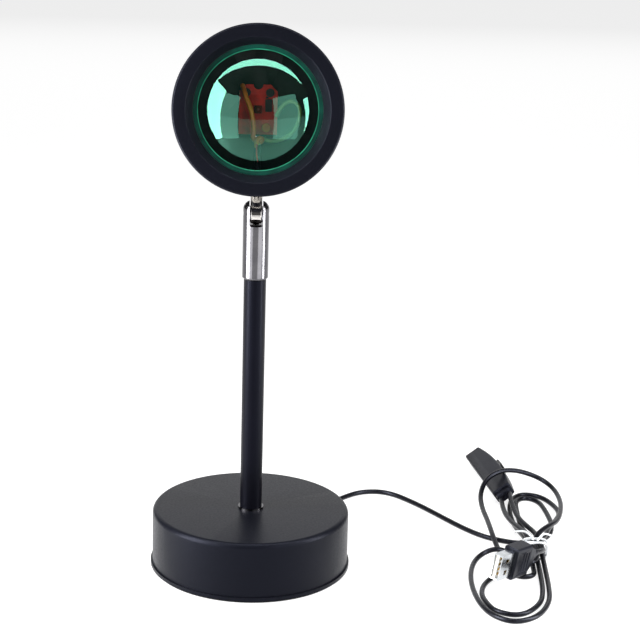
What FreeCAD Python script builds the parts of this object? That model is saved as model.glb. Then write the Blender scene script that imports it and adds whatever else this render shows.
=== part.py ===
import FreeCAD, Part
import os
from math import asin, atan2, cos, degrees, hypot, pi, radians, sin, sqrt, tan

# Sunset projection lamp on a round weighted base, with its tied USB cord.
# Millimetres, +Z up, lamp facing -Y.  The origin is the centre of the base's underside.

Vec = FreeCAD.Vector
X_AXIS = Vec(1, 0, 0)
Y_AXIS = Vec(0, 1, 0)
Z_AXIS = Vec(0, 0, 1)
ORIGIN = Vec(0, 0, 0)

# ---- clearances ----
RUN_GAP = 0.05          # radial play of a turning fit
FIT_GAP = 0.02          # play of a pressed or glued piece
SLIP_GAP = 0.1          # play of pieces that drop into each other
SEAT_GAP = 0.3          # room left beside loose or soft pieces

# ---- base ----
BASE_R = 45.0
BASE_TOP = 28.0
BASE_WALL = 2.0
BASE_EDGE = 2.35        # rounding of the top edge
PAD_R = BASE_R - 0.4
PAD_T = 1.0
RIM_R = BASE_R + 0.8     # the base plate stands a little proud of the shell
PLATE_T = 1.6
WEIGHT_GAP = 1.6        # between the weight and the shell's wall
WEIGHT_T = 10.0
WEIGHT_HOLE_R = 9.0
LEAD_CHANNEL_W = 6.0
BOSS_R = 4.0
BOSS_CIRCLE_R = BASE_R - BASE_WALL - 8.0
BOSS_COUNT = 3
SCREW_R = 1.5
SCREW_HEAD_R = 2.8
SCREW_HEAD_T = 1.2
SCREW_LENGTH = 9.0

# ---- stem ----
STEM_R = 5.0
STEM_WALL = 1.0
STEM_BELOW_TOP = 12.0   # length of tube inside the base
STEM_TOP = 137.7
COLLAR_R = 5.8
COLLAR_T = 0.8
STEM_NUT_AF = 15.0
STEM_NUT_T = 5.0
STEM_WASHER_R = 9.5
STEM_WASHER_T = 1.0

# ---- swivel and knuckle ----
BARREL_R = 5.8
BARREL_LENGTH = 34.2
BARREL_NOSE = 3.6       # rounding of the barrel's top
SLOT_W = 6.0
SLOT_DEPTH = 10.5
SWIVEL_WASHER_T = 1.25
SWIVEL_CHAMFER = 0.7
STUD_R = 3.6
STUD_ABOVE = 18.0       # shaft inside the barrel
STUD_BELOW = 15.0       # spigot inside the stem
STUD_BORE_R = 1.9
GROOVE_DEPTH = 0.7
GROOVE_W = 2.4
GROOVE_UP = 11.0        # groove's middle above the stem
GRUB_R = 1.25
GRUB_TIP_R = 0.8
WIRE_HOLE_R = 1.5
PIVOT_BELOW_NOSE = 5.9
PIN_R = 1.5
TONGUE_W = 5.2
TONGUE_R = 4.2
TONGUE_EDGE = 0.7
FRICTION_WASHER_T = 0.33
FRICTION_WASHER_R = 3.6
NECK_R = 2.6
NECK_WIRE_R = 1.0
NECK_THREAD_UP = 6.0    # threaded end inside the housing
NECK_NUT_AF = 9.0
NECK_NUT_T = 3.0
COLLAR_SEAT_R = 4.4     # saddle washer under the housing
COLLAR_SEAT_T = 1.3

# ---- lamp head; its own axis runs forward, measured from the neck ----
HEAD_TILT = 12.0        # degrees that the head looks up at rest
HOUSING_R = 36.2
HEAD_UP = HOUSING_R + 9.8   # pivot to the head's axis
HOUSING_WALL = 2.0
HOUSING_BACK = -25.5
BEZEL_R = HOUSING_R + 0.8
BEZEL_BACK = 20.0
BEZEL_FRONT = 34.0
BEZEL_EDGE = 0.7
BEZEL_FACE_R = BEZEL_R - 5.8    # inner edge of the flat ring
LIP_R = BEZEL_R - 9.0           # what the lens shows through
LIP_T = 0.9
NOSE_WALL = 2.2         # threaded nose of the housing, inside the bezel
LENS_R = LIP_R + 1.5
LENS_RIM_T = 3.0
DOME_R = LIP_R - 2.2
DOME_CURVE_R = DOME_R * 1.357
GASKET_W = 2.0
GASKET_T = 1.0
LEDGE_T = 2.5
RIB_FRONT = -5.0        # inner rib that the heat sink seats on
RIB_T = 3.0
RIB_INNER_R = HOUSING_R - HOUSING_WALL - 7.2
SINK_T = 4.0
FIN_COUNT = 9
FIN_T = 1.2
FIN_LENGTH = 12.0
FIN_SPAN_R = RIB_INNER_R - 1.0
SINK_SCREW_CIRCLE_R = RIB_INNER_R + 3.5
BOARD_W = 17.0
BOARD_H = 22.0
BOARD_T = 1.6
BOARD_NOTCH_R = 2.2
BOARD_CORNER = 3.0
CHIP_W = 3.5
CHIP_T = 1.3
CHIP_DOME_R = 1.5
SMALL_SCREW_R = 1.0
SMALL_HEAD_R = 1.9
SMALL_HEAD_T = 1.1
BOARD_SCREW_X = 5.2
BOARD_SCREW_Y = 7.4
COVER_T = 2.0
COVER_SPIGOT_T = 3.0
COVER_SPIGOT_WALL = 2.0
VENT_COUNT = 7
VENT_W = 2.6
VENT_PITCH = 5.6
VENT_SPAN_R = HOUSING_R - HOUSING_WALL - 14.2
COVER_BOSS_R = 3.0
COVER_BOSS_CIRCLE_R = HOUSING_R - HOUSING_WALL - 4.4
COVER_SCREW_LENGTH = 8.0
HEAD_WIRE_R = 0.7

# ---- cord ----
CORD_R = 1.2
FLOOR_GAP = 0.05
GLAND_ANGLE = 62.0      # degrees from +X, towards the back
GLAND_Z = 7.0
GLAND_R = 2.6
GLAND_FLANGE_R = 3.9
GLAND_FLANGE_T = 1.4
GLAND_NOSE = 9.0
GLAND_NOSE_R = 1.75
GLAND_INNER_R = 3.2
GLAND_INNER_T = 1.2
INNER_LEAD_BEND = 6.0

# ---- hank: loops above and below one tie ----
TIE_X = 134.0
TIE_Y = 12.0
TIE_HALF = 3.5
TIE_PITCH = 2.9         # strand to strand inside the tie
TIE_LOW_Z = 2.6
TIE_WALL = 0.8

# ---- inline switch ----
SWITCH_NEAR = (121.65, 77.45)
SWITCH_AZIMUTH = -10.5  # degrees from +Y
SWITCH_ROLL = 55.0
SWITCH_L = 53.0
SWITCH_W = 7.0
SWITCH_H_NEAR = 9.5
SWITCH_H_MID = 11.5
SWITCH_H_FAR = 8.5
SWITCH_WALL = 1.2
SWITCH_EDGE = 1.0
SWITCH_SPLIT = 5.0      # seam between the two shells
BUTTON_AT = 28.0
BUTTON_L = 6.0
BUTTON_W = 3.6
BUTTON_PROUD = 1.6
BUTTON_TRAVEL = 0.8
BUTTON_FOOT = 1.0
BUTTON_FOOT_T = 0.8
GROMMET_L = 3.0
GROMMET_W = 4.6
GROMMET_LOW = 0.7
GROMMET_HIGH = 8.3
LEAD_LOW = 2.1          # the two leads' heights in the switch's end
LEAD_HIGH = 6.9
CONTACT_L = 14.0
CONTACT_T = 1.2

# ---- plug ----
PLUG_YAW = 51.0
PLUG_PITCH = 6.0
PLUG_ROLL = -8.0
PLUG_AT = (117.8, -21.9, 11.6)
SHELL_W = 12.0
SHELL_T = 4.5
SHELL_OUT = 10.5
SHELL_IN = 5.0
SHELL_SHEET = 0.35
TONGUE_PLASTIC_T = 1.9
TONGUE_INSET = 0.8
CONTACT_W = 1.2
CONTACT_PITCH = 2.4
CONTACT_SHEET = 0.25
GRIP_W = 15.2
GRIP_T = 7.6
GRIP_L = 12.0
GRIP_TAPER = 6.0
GRIP_EDGE = 1.2
TAIL_W = 6.0
TAIL_T = 5.0
TAIL_L = 5.0


# ---------------------------------------------------------------- helpers
def cylinder(radius, low, high, at=(0, 0)):
    """An upright cylinder between two heights."""
    return Part.makeCylinder(radius, high - low, Vec(at[0], at[1], low))


def ring(outer, inner, low, high):
    """An upright tube between two heights."""
    return cylinder(outer, low, high).cut(cylinder(inner, low, high))


def turned(profile):
    """A solid turned about Z from (radius, height) corners."""
    corners = [Vec(r, 0, z) for r, z in profile]
    face = Part.Face(Part.makePolygon(corners + corners[:1]))
    return face.revolve(ORIGIN, Z_AXIS, 360)


def block(x_low, x_high, y_low, y_high, z_low, z_high):
    """A box between six planes."""
    return Part.makeBox(x_high - x_low, y_high - y_low, z_high - z_low, Vec(x_low, y_low, z_low))


def hexagon(across_flats, low, high, hole_r):
    """A nut about Z."""
    corner = across_flats / sqrt(3)
    points = [Vec(corner * cos(radians(60 * i)), corner * sin(radians(60 * i)), low) for i in range(7)]
    nut = Part.Face(Part.makePolygon(points)).extrude(Vec(0, 0, high - low))
    return nut.cut(cylinder(hole_r, low, high))


def spots(count, radius, first=90.0):
    """Evenly spaced places on a circle."""
    return [(radius * cos(radians(first + 360 * i / count)), radius * sin(radians(first + 360 * i / count)))
            for i in range(count)]


def screw(shank_r, head_r, head_t, length):
    """A pan-head screw: the head's seat at z = 0, the shank going up, with a cross slot."""
    body = cylinder(shank_r, 0, length).fuse(cylinder(head_r, -head_t, 0)).removeSplitter()
    slot = block(-head_r * 0.7, head_r * 0.7, -head_r * 0.13, head_r * 0.13, -head_t, -head_t * 0.5)
    cross = slot.fuse(slot.rotated(ORIGIN, Z_AXIS, 90))
    return body.cut(cross)


def group(shapes):
    """Separate solids kept together in one node."""
    return Part.makeCompound(shapes)


def tangent_line(points, radii_of=None):
    """A wire of straight runs joined by tangent arcs through a route's corners."""
    edges = []
    start = points[0]
    radii = []
    for before, corner, after in zip(points, points[1:], points[2:]):
        into = (corner - before).normalize()
        out = (after - corner).normalize()
        half_turn = into.getAngle(out) / 2
        shorter = min((corner - before).Length, (after - corner).Length)
        radius = ARC_SHARE * shorter / tan(half_turn) if radii_of is None else radii_of
        reach = radius * tan(half_turn)
        arc_in = corner - into * reach
        arc_out = corner + out * reach
        inward = (out - into).normalize()
        middle = corner + inward * (radius / cos(half_turn) - radius)
        edges.append(Part.LineSegment(start, arc_in).toShape())
        edges.append(Part.Arc(arc_in, middle, arc_out).toShape())
        radii.append(radius)
        start = arc_out
    edges.append(Part.LineSegment(start, points[-1]).toShape())
    return Part.Wire(edges), radii


def tube_along(wire, radius, start, direction):
    """A round tube along a wire of lines and arcs."""
    profile = Part.Wire(Part.makeCircle(radius, start, direction))
    return wire.makePipeShell([profile], True, False)


def arc_middle(start, tangent, end):
    """The middle of the arc that leaves start along tangent and meets end."""
    chord = end - start
    along = Vec(chord).normalize()
    angle = tangent.getAngle(along)
    if angle < 1e-6:
        return None
    side = (tangent - along * cos(angle)).normalize()
    return start + chord * 0.5 + side * (chord.Length / 2 * tan(angle / 2))


def biarc(start, start_way, end, end_way):
    """Two tangent arcs between two stations."""
    span = end - start
    both = start_way + end_way
    spread = 2 * (1 - start_way.dot(end_way))
    if spread < 1e-9:
        reach = span.dot(span) / (4 * span.dot(start_way))
    else:
        along = span.dot(both)
        reach = (-along + sqrt(along * along + spread * span.dot(span))) / spread
    joint = (start + end + (start_way - end_way) * reach) * 0.5
    edges = []
    for a, way, b, flip in ((start, start_way, joint, 1), (end, end_way * -1, joint, -1)):
        middle = arc_middle(a, way, b)
        first, last = (a, b) if flip > 0 else (b, a)
        if middle is None:
            edges.append(Part.LineSegment(first, last).toShape())
        else:
            edges.append(Part.Arc(first, middle, last).toShape())
    return edges


def turn_at(before, here, after):
    """The heading in plan of the circle through three stations, in degrees."""
    into = (here[0] - before[0], here[1] - before[1])
    out = (after[0] - here[0], after[1] - here[1])
    weight = hypot(*out) / hypot(*into)
    return degrees(atan2(into[1] * weight + out[1] / weight, into[0] * weight + out[0] / weight))


def climb_at(before, here, after):
    """The slope at a station: level at the table, at the tops and in the dips."""
    rise_in = (here[2] - before[2]) / hypot(here[0] - before[0], here[1] - before[1])
    rise_out = (after[2] - here[2]) / hypot(after[0] - here[0], after[1] - here[1])
    if here[2] <= FLOOR_Z or rise_in * rise_out <= 0:
        return 0.0
    return min((rise_in + rise_out) / 2, 2 * rise_in, 2 * rise_out, key=abs)


def station_ways(stations):
    """Unit directions of the stations; a station may fix its own heading as a fourth value."""
    ways = []
    for i, here in enumerate(stations):
        inner = 0 < i < len(stations) - 1
        heading = here[3] if len(here) > 3 else turn_at(stations[i - 1], here, stations[i + 1])
        climb = climb_at(stations[i - 1], here, stations[i + 1]) if inner else 0.0
        ways.append(Vec(cos(radians(heading)), sin(radians(heading)), climb).normalize())
    return ways


def loose_tube(stations, start_way, end_way):
    """The hank's tube through its stations, with straight ends one diameter long."""
    points = [Vec(*station[:3]) for station in stations]
    ways = station_ways(stations)
    ways[0] = start_way
    ways[-1] = end_way
    straight = 2 * CORD_R
    lead_in = points[0] + ways[0] * straight
    lead_out = points[-1] - ways[-1] * straight
    edges = [Part.LineSegment(points[0], lead_in).toShape()]
    inner = [lead_in] + points[1:-1] + [lead_out]
    for a, a_way, b, b_way in zip(inner, ways, inner[1:], ways[1:]):
        edges.extend(biarc(a, a_way, b, b_way))
    edges.append(Part.LineSegment(lead_out, points[-1]).toShape())
    wire = Part.Wire(edges)
    return tube_along(wire, CORD_R, points[0], ways[0]), wire


def least_gap(name, wire, others=()):
    """Print the least gap of a hank's tube to itself and to other tubes."""
    count = int(wire.Length)
    here = wire.discretize(count)
    skip = int(4 * CORD_R) + 4
    least = (1e9, None)
    for i, a in enumerate(here):
        for b in here[i + skip:]:
            least = min(least, (a.distanceToPoint(b), (a.x, a.y, a.z, b.x, b.y, b.z)))
    print("%s: length %.0f, least gap to itself %.2f at %s"
          % (name, wire.Length, least[0] - 2 * CORD_R, ["%.0f" % c for c in least[1]]))
    for other_name, other in others:
        there = other.discretize(int(other.Length))
        near = min((a.distanceToPoint(b), (a.x, a.y, a.z, b.x, b.y, b.z)) for a in here for b in there)
        print("   to %s %.2f at %s" % (other_name, near[0] - 2 * CORD_R, ["%.0f" % c for c in near[1]]))


def check_tube(name, tube, wire, radius):
    """Print a tube's volume beside its section times its length."""
    expected = pi * radius * radius * wire.Length
    print("%s: volume %.1f, section x length %.1f" % (name, tube.Volume, expected))


nodes = {}

# ---------------------------------------------------------------- base
PLATE_TOP = PAD_T + PLATE_T
CEILING = BASE_TOP - BASE_WALL
CAVITY_R = BASE_R - BASE_WALL
gland_way = Vec(cos(radians(GLAND_ANGLE)), sin(radians(GLAND_ANGLE)), 0)
gland_turn = FreeCAD.Placement(Vec(0, 0, GLAND_Z), FreeCAD.Rotation(Z_AXIS, gland_way))
boss_spots = spots(BOSS_COUNT, BOSS_CIRCLE_R, -90.0)


def make_base():
    shell = turned([(0, PLATE_TOP), (BASE_R, PLATE_TOP), (BASE_R, BASE_TOP), (0, BASE_TOP)])
    top_edges = [e for e in shell.Edges if len(e.Vertexes) == 1
                 and abs(e.BoundBox.ZMin - BASE_TOP) < 1e-6 and abs(e.BoundBox.ZMax - BASE_TOP) < 1e-6]
    shell = shell.makeFillet(BASE_EDGE, top_edges)
    shell = shell.cut(cylinder(CAVITY_R, PLATE_TOP, CEILING))
    for spot in boss_spots:
        shell = shell.fuse(cylinder(BOSS_R, PLATE_TOP, CEILING, spot))
    for spot in boss_spots:
        shell = shell.cut(cylinder(SCREW_R + RUN_GAP, PLATE_TOP, PLATE_TOP + SCREW_LENGTH + 1, spot))
    shell = shell.cut(cylinder(STEM_R + RUN_GAP, CEILING, BASE_TOP))
    hole = cylinder(GLAND_R + RUN_GAP, CAVITY_R - 1, BASE_R + 1)
    hole.Placement = gland_turn
    shell = shell.cut(hole)

    plate = cylinder(RIM_R, PAD_T, PLATE_TOP)
    pad = cylinder(PAD_R, 0, PAD_T)
    sunk = SCREW_HEAD_T + SLIP_GAP
    for spot in boss_spots:
        plate = plate.cut(cylinder(SCREW_R + SLIP_GAP, PAD_T, PLATE_TOP, spot))
        plate = plate.cut(cylinder(SCREW_HEAD_R + SLIP_GAP, PAD_T, PAD_T + sunk, spot))
        pad = pad.cut(cylinder(SCREW_HEAD_R + SLIP_GAP, 0, PAD_T, spot))
    seat = PAD_T + sunk
    one = screw(SCREW_R, SCREW_HEAD_R, SCREW_HEAD_T, SCREW_LENGTH - (seat - PAD_T))
    screws = [one.translated(Vec(x, y, seat)) for x, y in boss_spots]

    weight = ring(CAVITY_R - WEIGHT_GAP, WEIGHT_HOLE_R, PLATE_TOP, PLATE_TOP + WEIGHT_T)
    for spot in boss_spots:
        weight = weight.cut(cylinder(BOSS_R + SEAT_GAP, PLATE_TOP, PLATE_TOP + WEIGHT_T, spot))
    channel = block(0, BASE_R, -LEAD_CHANNEL_W / 2, LEAD_CHANNEL_W / 2, PLATE_TOP, PLATE_TOP + WEIGHT_T)
    weight = weight.cut(channel.rotated(ORIGIN, Z_AXIS, GLAND_ANGLE))

    nodes["base_shell"] = shell
    nodes["base_plate"] = plate
    nodes["foot_pad"] = pad
    nodes["base_screws"] = group(screws)
    nodes["base_weight"] = weight


def make_gland():
    bore = CORD_R + RUN_GAP
    wall_in = sqrt(CAVITY_R ** 2 - GLAND_INNER_R ** 2)
    neck = turned([(bore, wall_in - GLAND_INNER_T), (GLAND_INNER_R, wall_in - GLAND_INNER_T),
                   (GLAND_INNER_R, wall_in), (GLAND_R, wall_in), (GLAND_R, BASE_R + 0.01),
                   (GLAND_FLANGE_R, BASE_R + 0.01), (GLAND_FLANGE_R, BASE_R + GLAND_FLANGE_T),
                   (GLAND_R, BASE_R + GLAND_FLANGE_T + 1), (GLAND_NOSE_R, BASE_R + GLAND_NOSE),
                   (bore, BASE_R + GLAND_NOSE)])
    neck.Placement = gland_turn
    nodes["cable_gland"] = neck


# ---------------------------------------------------------------- stem
STEM_BOTTOM = BASE_TOP - STEM_BELOW_TOP
STEM_BORE_R = STEM_R - STEM_WALL


def make_stem():
    nodes["stem_tube"] = ring(STEM_R, STEM_BORE_R, STEM_BOTTOM, STEM_TOP)
    washer_low = CEILING - STEM_WASHER_T
    nodes["stem_washer"] = ring(STEM_WASHER_R, STEM_R + RUN_GAP, washer_low, CEILING)
    nodes["stem_nut"] = hexagon(STEM_NUT_AF, washer_low - STEM_NUT_T, washer_low, STEM_R + RUN_GAP)
    foot = ring(COLLAR_R, STEM_R + RUN_GAP, BASE_TOP, BASE_TOP + COLLAR_T)
    nodes["stem_foot_ring"] = foot


# ---------------------------------------------------------------- swivel and knuckle
BARREL_BOTTOM = STEM_TOP + SWIVEL_WASHER_T + RUN_GAP
BARREL_TOP = BARREL_BOTTOM + BARREL_LENGTH
PIVOT_Z = BARREL_TOP - PIVOT_BELOW_NOSE
SLOT_FLOOR = BARREL_TOP - SLOT_DEPTH
STUD_TOP = STEM_TOP + STUD_ABOVE
GROOVE_Z = STEM_TOP + GROOVE_UP
PIVOT = Vec(0, 0, PIVOT_Z)


def make_swivel():
    chamfer = SWIVEL_CHAMFER
    nodes["swivel_washer"] = turned([(STUD_R + RUN_GAP, STEM_TOP), (BARREL_R - chamfer, STEM_TOP),
                                     (BARREL_R, STEM_TOP + chamfer), (BARREL_R, STEM_TOP + SWIVEL_WASHER_T),
                                     (STUD_R + RUN_GAP, STEM_TOP + SWIVEL_WASHER_T)])
    half_groove = GROOVE_W / 2
    nodes["swivel_stud"] = turned([
        (STUD_BORE_R, STEM_TOP - STUD_BELOW), (STEM_BORE_R - RUN_GAP, STEM_TOP - STUD_BELOW),
        (STEM_BORE_R - RUN_GAP, STEM_TOP), (STUD_R, STEM_TOP), (STUD_R, GROOVE_Z - half_groove),
        (STUD_R - GROOVE_DEPTH, GROOVE_Z - half_groove), (STUD_R - GROOVE_DEPTH, GROOVE_Z + half_groove),
        (STUD_R, GROOVE_Z + half_groove), (STUD_R, STUD_TOP), (STUD_BORE_R, STUD_TOP)])

    bore_top = STUD_TOP + 1.0
    barrel = turned([(0, BARREL_BOTTOM), (BARREL_R, BARREL_BOTTOM), (BARREL_R, BARREL_TOP), (0, BARREL_TOP)])
    nose_edges = [e for e in barrel.Edges if len(e.Vertexes) == 1 and e.BoundBox.ZMin > BARREL_TOP - 1e-3]
    barrel = barrel.makeFillet(BARREL_NOSE, nose_edges)
    barrel = barrel.cut(cylinder(STUD_R + RUN_GAP, BARREL_BOTTOM, bore_top))
    barrel = barrel.cut(cylinder(WIRE_HOLE_R, bore_top, SLOT_FLOOR))
    half = SLOT_W / 2
    slot = block(-half, half, -BARREL_R - 1, BARREL_R + 1, SLOT_FLOOR, BARREL_TOP + 1)
    floor_edges = [e for e in slot.Edges if e.BoundBox.ZMax < SLOT_FLOOR + 1e-3 and e.BoundBox.YLength > 1]
    barrel = barrel.cut(slot.makeFillet(0.9, floor_edges))
    pin_hole = Part.makeCylinder(PIN_R + RUN_GAP / 2, 4 * BARREL_R, Vec(-2 * BARREL_R, 0, PIVOT_Z), X_AXIS)
    barrel = barrel.cut(pin_hole)
    grub_hole = Part.makeCylinder(GRUB_R + RUN_GAP / 2, BARREL_R + 1, Vec(0, 0, GROOVE_Z), Y_AXIS)
    barrel = barrel.cut(grub_hole)
    nodes["swivel_barrel"] = barrel

    tip = STUD_R - GROOVE_DEPTH + SLIP_GAP
    grub = Part.makeCylinder(GRUB_R, BARREL_R - 0.5 - (STUD_R + 0.4), Vec(0, STUD_R + 0.4, GROOVE_Z), Y_AXIS)
    grub = grub.fuse(Part.makeCylinder(GRUB_TIP_R, STUD_R + 0.5 - tip, Vec(0, tip, GROOVE_Z), Y_AXIS))
    nodes["swivel_grub_screw"] = grub.removeSplitter()

    pin_half = BARREL_R - 0.15
    nodes["pivot_pin"] = Part.makeCylinder(PIN_R, 2 * pin_half, Vec(-pin_half, 0, PIVOT_Z), X_AXIS)
    washers = []
    for side in (-1, 1):
        centre = side * (TONGUE_W / 2 + half) / 2
        low = centre - FRICTION_WASHER_T / 2
        disc = Part.makeCylinder(FRICTION_WASHER_R, FRICTION_WASHER_T, Vec(low, 0, PIVOT_Z), X_AXIS)
        hole = Part.makeCylinder(PIN_R + RUN_GAP, FRICTION_WASHER_T, Vec(low, 0, PIVOT_Z), X_AXIS)
        washers.append(disc.cut(hole))
    nodes["friction_washers"] = group(washers)


# ---------------------------------------------------------------- lamp head
# The head is drawn with its axis along +Z, its up along +Y and the neck's axis at z = 0,
# and is then laid back by HEAD_TILT over the pivot.
head_turn = FreeCAD.Rotation(X_AXIS, 90 - HEAD_TILT)
head_centre = PIVOT + head_turn.multVec(Vec(0, HEAD_UP, 0))
head_place = FreeCAD.Placement(head_centre, head_turn)

HOUSING_BORE_R = HOUSING_R - HOUSING_WALL
LIP_BACK = BEZEL_FRONT - 5.9
LENS_BACK = LIP_BACK - LENS_RIM_T
LEDGE_TOP = LENS_BACK - GASKET_T
NOSE_R = BEZEL_R - NOSE_WALL - SLIP_GAP
SINK_FRONT = RIB_FRONT - RIB_T
SINK_BACK = SINK_FRONT - SINK_T
sink_spots = spots(3, SINK_SCREW_CIRCLE_R, 90.0)
cover_spots = spots(4, COVER_BOSS_CIRCLE_R, 45.0)


def put_head(name, shape):
    placed = shape.copy()
    placed.Placement = head_place.multiply(placed.Placement)
    nodes[name] = placed


def across(shape_about_z):
    """Turn a shape drawn about +Z so that it stands along the head's +Y."""
    return shape_about_z.rotated(ORIGIN, X_AXIS, -90)


def make_neck():
    seat = -HOUSING_R
    tongue = Part.makeCylinder(TONGUE_R, TONGUE_W, Vec(-TONGUE_W / 2, 0, 0), X_AXIS)
    tongue = tongue.makeFillet(TONGUE_EDGE, [e for e in tongue.Edges if len(e.Vertexes) == 1])
    post_top = HEAD_UP + seat - COLLAR_SEAT_T
    thread_r = NECK_R - SLIP_GAP
    thread_top = HEAD_UP + seat + HOUSING_WALL + NECK_THREAD_UP
    post = turned([(0, 0), (NECK_R, 0), (NECK_R, post_top), (thread_r, post_top), (thread_r, thread_top),
                   (0, thread_top)])
    neck = across(post).fuse(tongue)
    bore_low = TONGUE_R + 1.5
    neck = neck.cut(across(cylinder(NECK_WIRE_R, bore_low, thread_top)))
    side_hole = Part.makeCylinder(NECK_WIRE_R * 0.9, NECK_R + 1, Vec(0, bore_low + NECK_WIRE_R, 0), Z_AXIS * -1)
    neck = neck.cut(side_hole)
    neck = neck.cut(Part.makeCylinder(PIN_R + RUN_GAP, 4 * TONGUE_R, Vec(-2 * TONGUE_R, 0, 0), X_AXIS))
    put_head("neck_post", neck.translated(Vec(0, -HEAD_UP, 0)))

    outer = Part.makeCylinder(HOUSING_R, 40, Vec(0, 0, -20), Z_AXIS)
    saddle = across(ring(COLLAR_SEAT_R, NECK_R - SLIP_GAP + RUN_GAP, seat - COLLAR_SEAT_T, seat + 1))
    put_head("neck_saddle_washer", saddle.cut(outer))
    corner = NECK_NUT_AF / sqrt(3)
    nut_low = -sqrt(HOUSING_BORE_R ** 2 - corner ** 2)
    nut = hexagon(NECK_NUT_AF, nut_low, nut_low + NECK_NUT_T, NECK_R - SLIP_GAP + RUN_GAP)
    put_head("neck_nut", across(nut))


def make_housing():
    outer = turned([(HOUSING_BORE_R, HOUSING_BACK), (HOUSING_R, HOUSING_BACK), (HOUSING_R, BEZEL_BACK),
                    (NOSE_R, BEZEL_BACK), (NOSE_R, LEDGE_TOP), (LENS_R - GASKET_W - 0.5, LEDGE_TOP),
                    (LENS_R - GASKET_W - 0.5, LEDGE_TOP - LEDGE_T), (HOUSING_BORE_R - 2, LEDGE_TOP - LEDGE_T),
                    (HOUSING_BORE_R - 2, BEZEL_BACK - 2), (HOUSING_BORE_R, BEZEL_BACK - 4)])
    rib = ring(HOUSING_BORE_R + 0.5, RIB_INNER_R, SINK_FRONT, RIB_FRONT)
    housing = outer.fuse(rib)
    for x, y in cover_spots:
        boss = cylinder(COVER_BOSS_R, HOUSING_BACK + COVER_SPIGOT_T + SLIP_GAP, SINK_BACK - SEAT_GAP, (x, y))
        bridge = block(-COVER_BOSS_R, COVER_BOSS_R, 0, HOUSING_BORE_R + 0.5 - COVER_BOSS_CIRCLE_R,
                       HOUSING_BACK + COVER_SPIGOT_T + SLIP_GAP, SINK_BACK - SEAT_GAP)
        bridge = bridge.rotated(ORIGIN, Z_AXIS, degrees(atan2(y, x)) - 90).translated(Vec(x, y, 0))
        keep = cylinder(HOUSING_BORE_R + 0.5, HOUSING_BACK, SINK_FRONT)
        housing = housing.fuse(boss.fuse(bridge).common(keep))
    for x, y in cover_spots:
        housing = housing.cut(cylinder(SMALL_SCREW_R + RUN_GAP, HOUSING_BACK, HOUSING_BACK + COVER_SPIGOT_T
                                       + COVER_SCREW_LENGTH, (x, y)))
    for x, y in sink_spots:
        housing = housing.cut(cylinder(SMALL_SCREW_R + RUN_GAP, SINK_FRONT, RIB_FRONT, (x, y)))
    neck_hole = across(cylinder(NECK_R - SLIP_GAP + RUN_GAP, -HOUSING_R - 1, -HOUSING_BORE_R + 1))
    housing = housing.cut(neck_hole)
    put_head("lamp_housing", housing.removeSplitter())


def make_bezel_and_lens():
    thread_r = NOSE_R + SLIP_GAP
    put_head("front_bezel", turned([
        (thread_r, BEZEL_BACK), (BEZEL_R, BEZEL_BACK), (BEZEL_R, BEZEL_FRONT - BEZEL_EDGE),
        (BEZEL_R - BEZEL_EDGE, BEZEL_FRONT), (BEZEL_FACE_R, BEZEL_FRONT), (LIP_R, LIP_BACK + LIP_T),
        (LIP_R, LIP_BACK), (LENS_R + SLIP_GAP, LIP_BACK), (LENS_R + SLIP_GAP, LEDGE_TOP), (thread_r, LEDGE_TOP)]))
    sagitta = DOME_CURVE_R - sqrt(DOME_CURVE_R ** 2 - DOME_R ** 2)
    half_angle = asin(DOME_R / DOME_CURVE_R) / 2
    dome_mid = Vec(DOME_CURVE_R * sin(half_angle), 0,
                   LIP_BACK + sagitta - DOME_CURVE_R * (1 - cos(half_angle)))
    apex = Vec(0, 0, LIP_BACK + sagitta)
    dome_foot = Vec(DOME_R, 0, LIP_BACK)
    edges = [Part.Arc(dome_foot, dome_mid, apex).toShape()]
    corners = [apex, Vec(0, 0, LENS_BACK), Vec(LENS_R, 0, LENS_BACK), Vec(LENS_R, 0, LIP_BACK), dome_foot]
    edges += [Part.LineSegment(a, b).toShape() for a, b in zip(corners, corners[1:])]
    lens = Part.Face(Part.Wire(edges)).revolve(ORIGIN, Z_AXIS, 360)
    put_head("lens", lens)
    put_head("lens_gasket", ring(LENS_R, LENS_R - GASKET_W, LEDGE_TOP, LENS_BACK))


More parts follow.
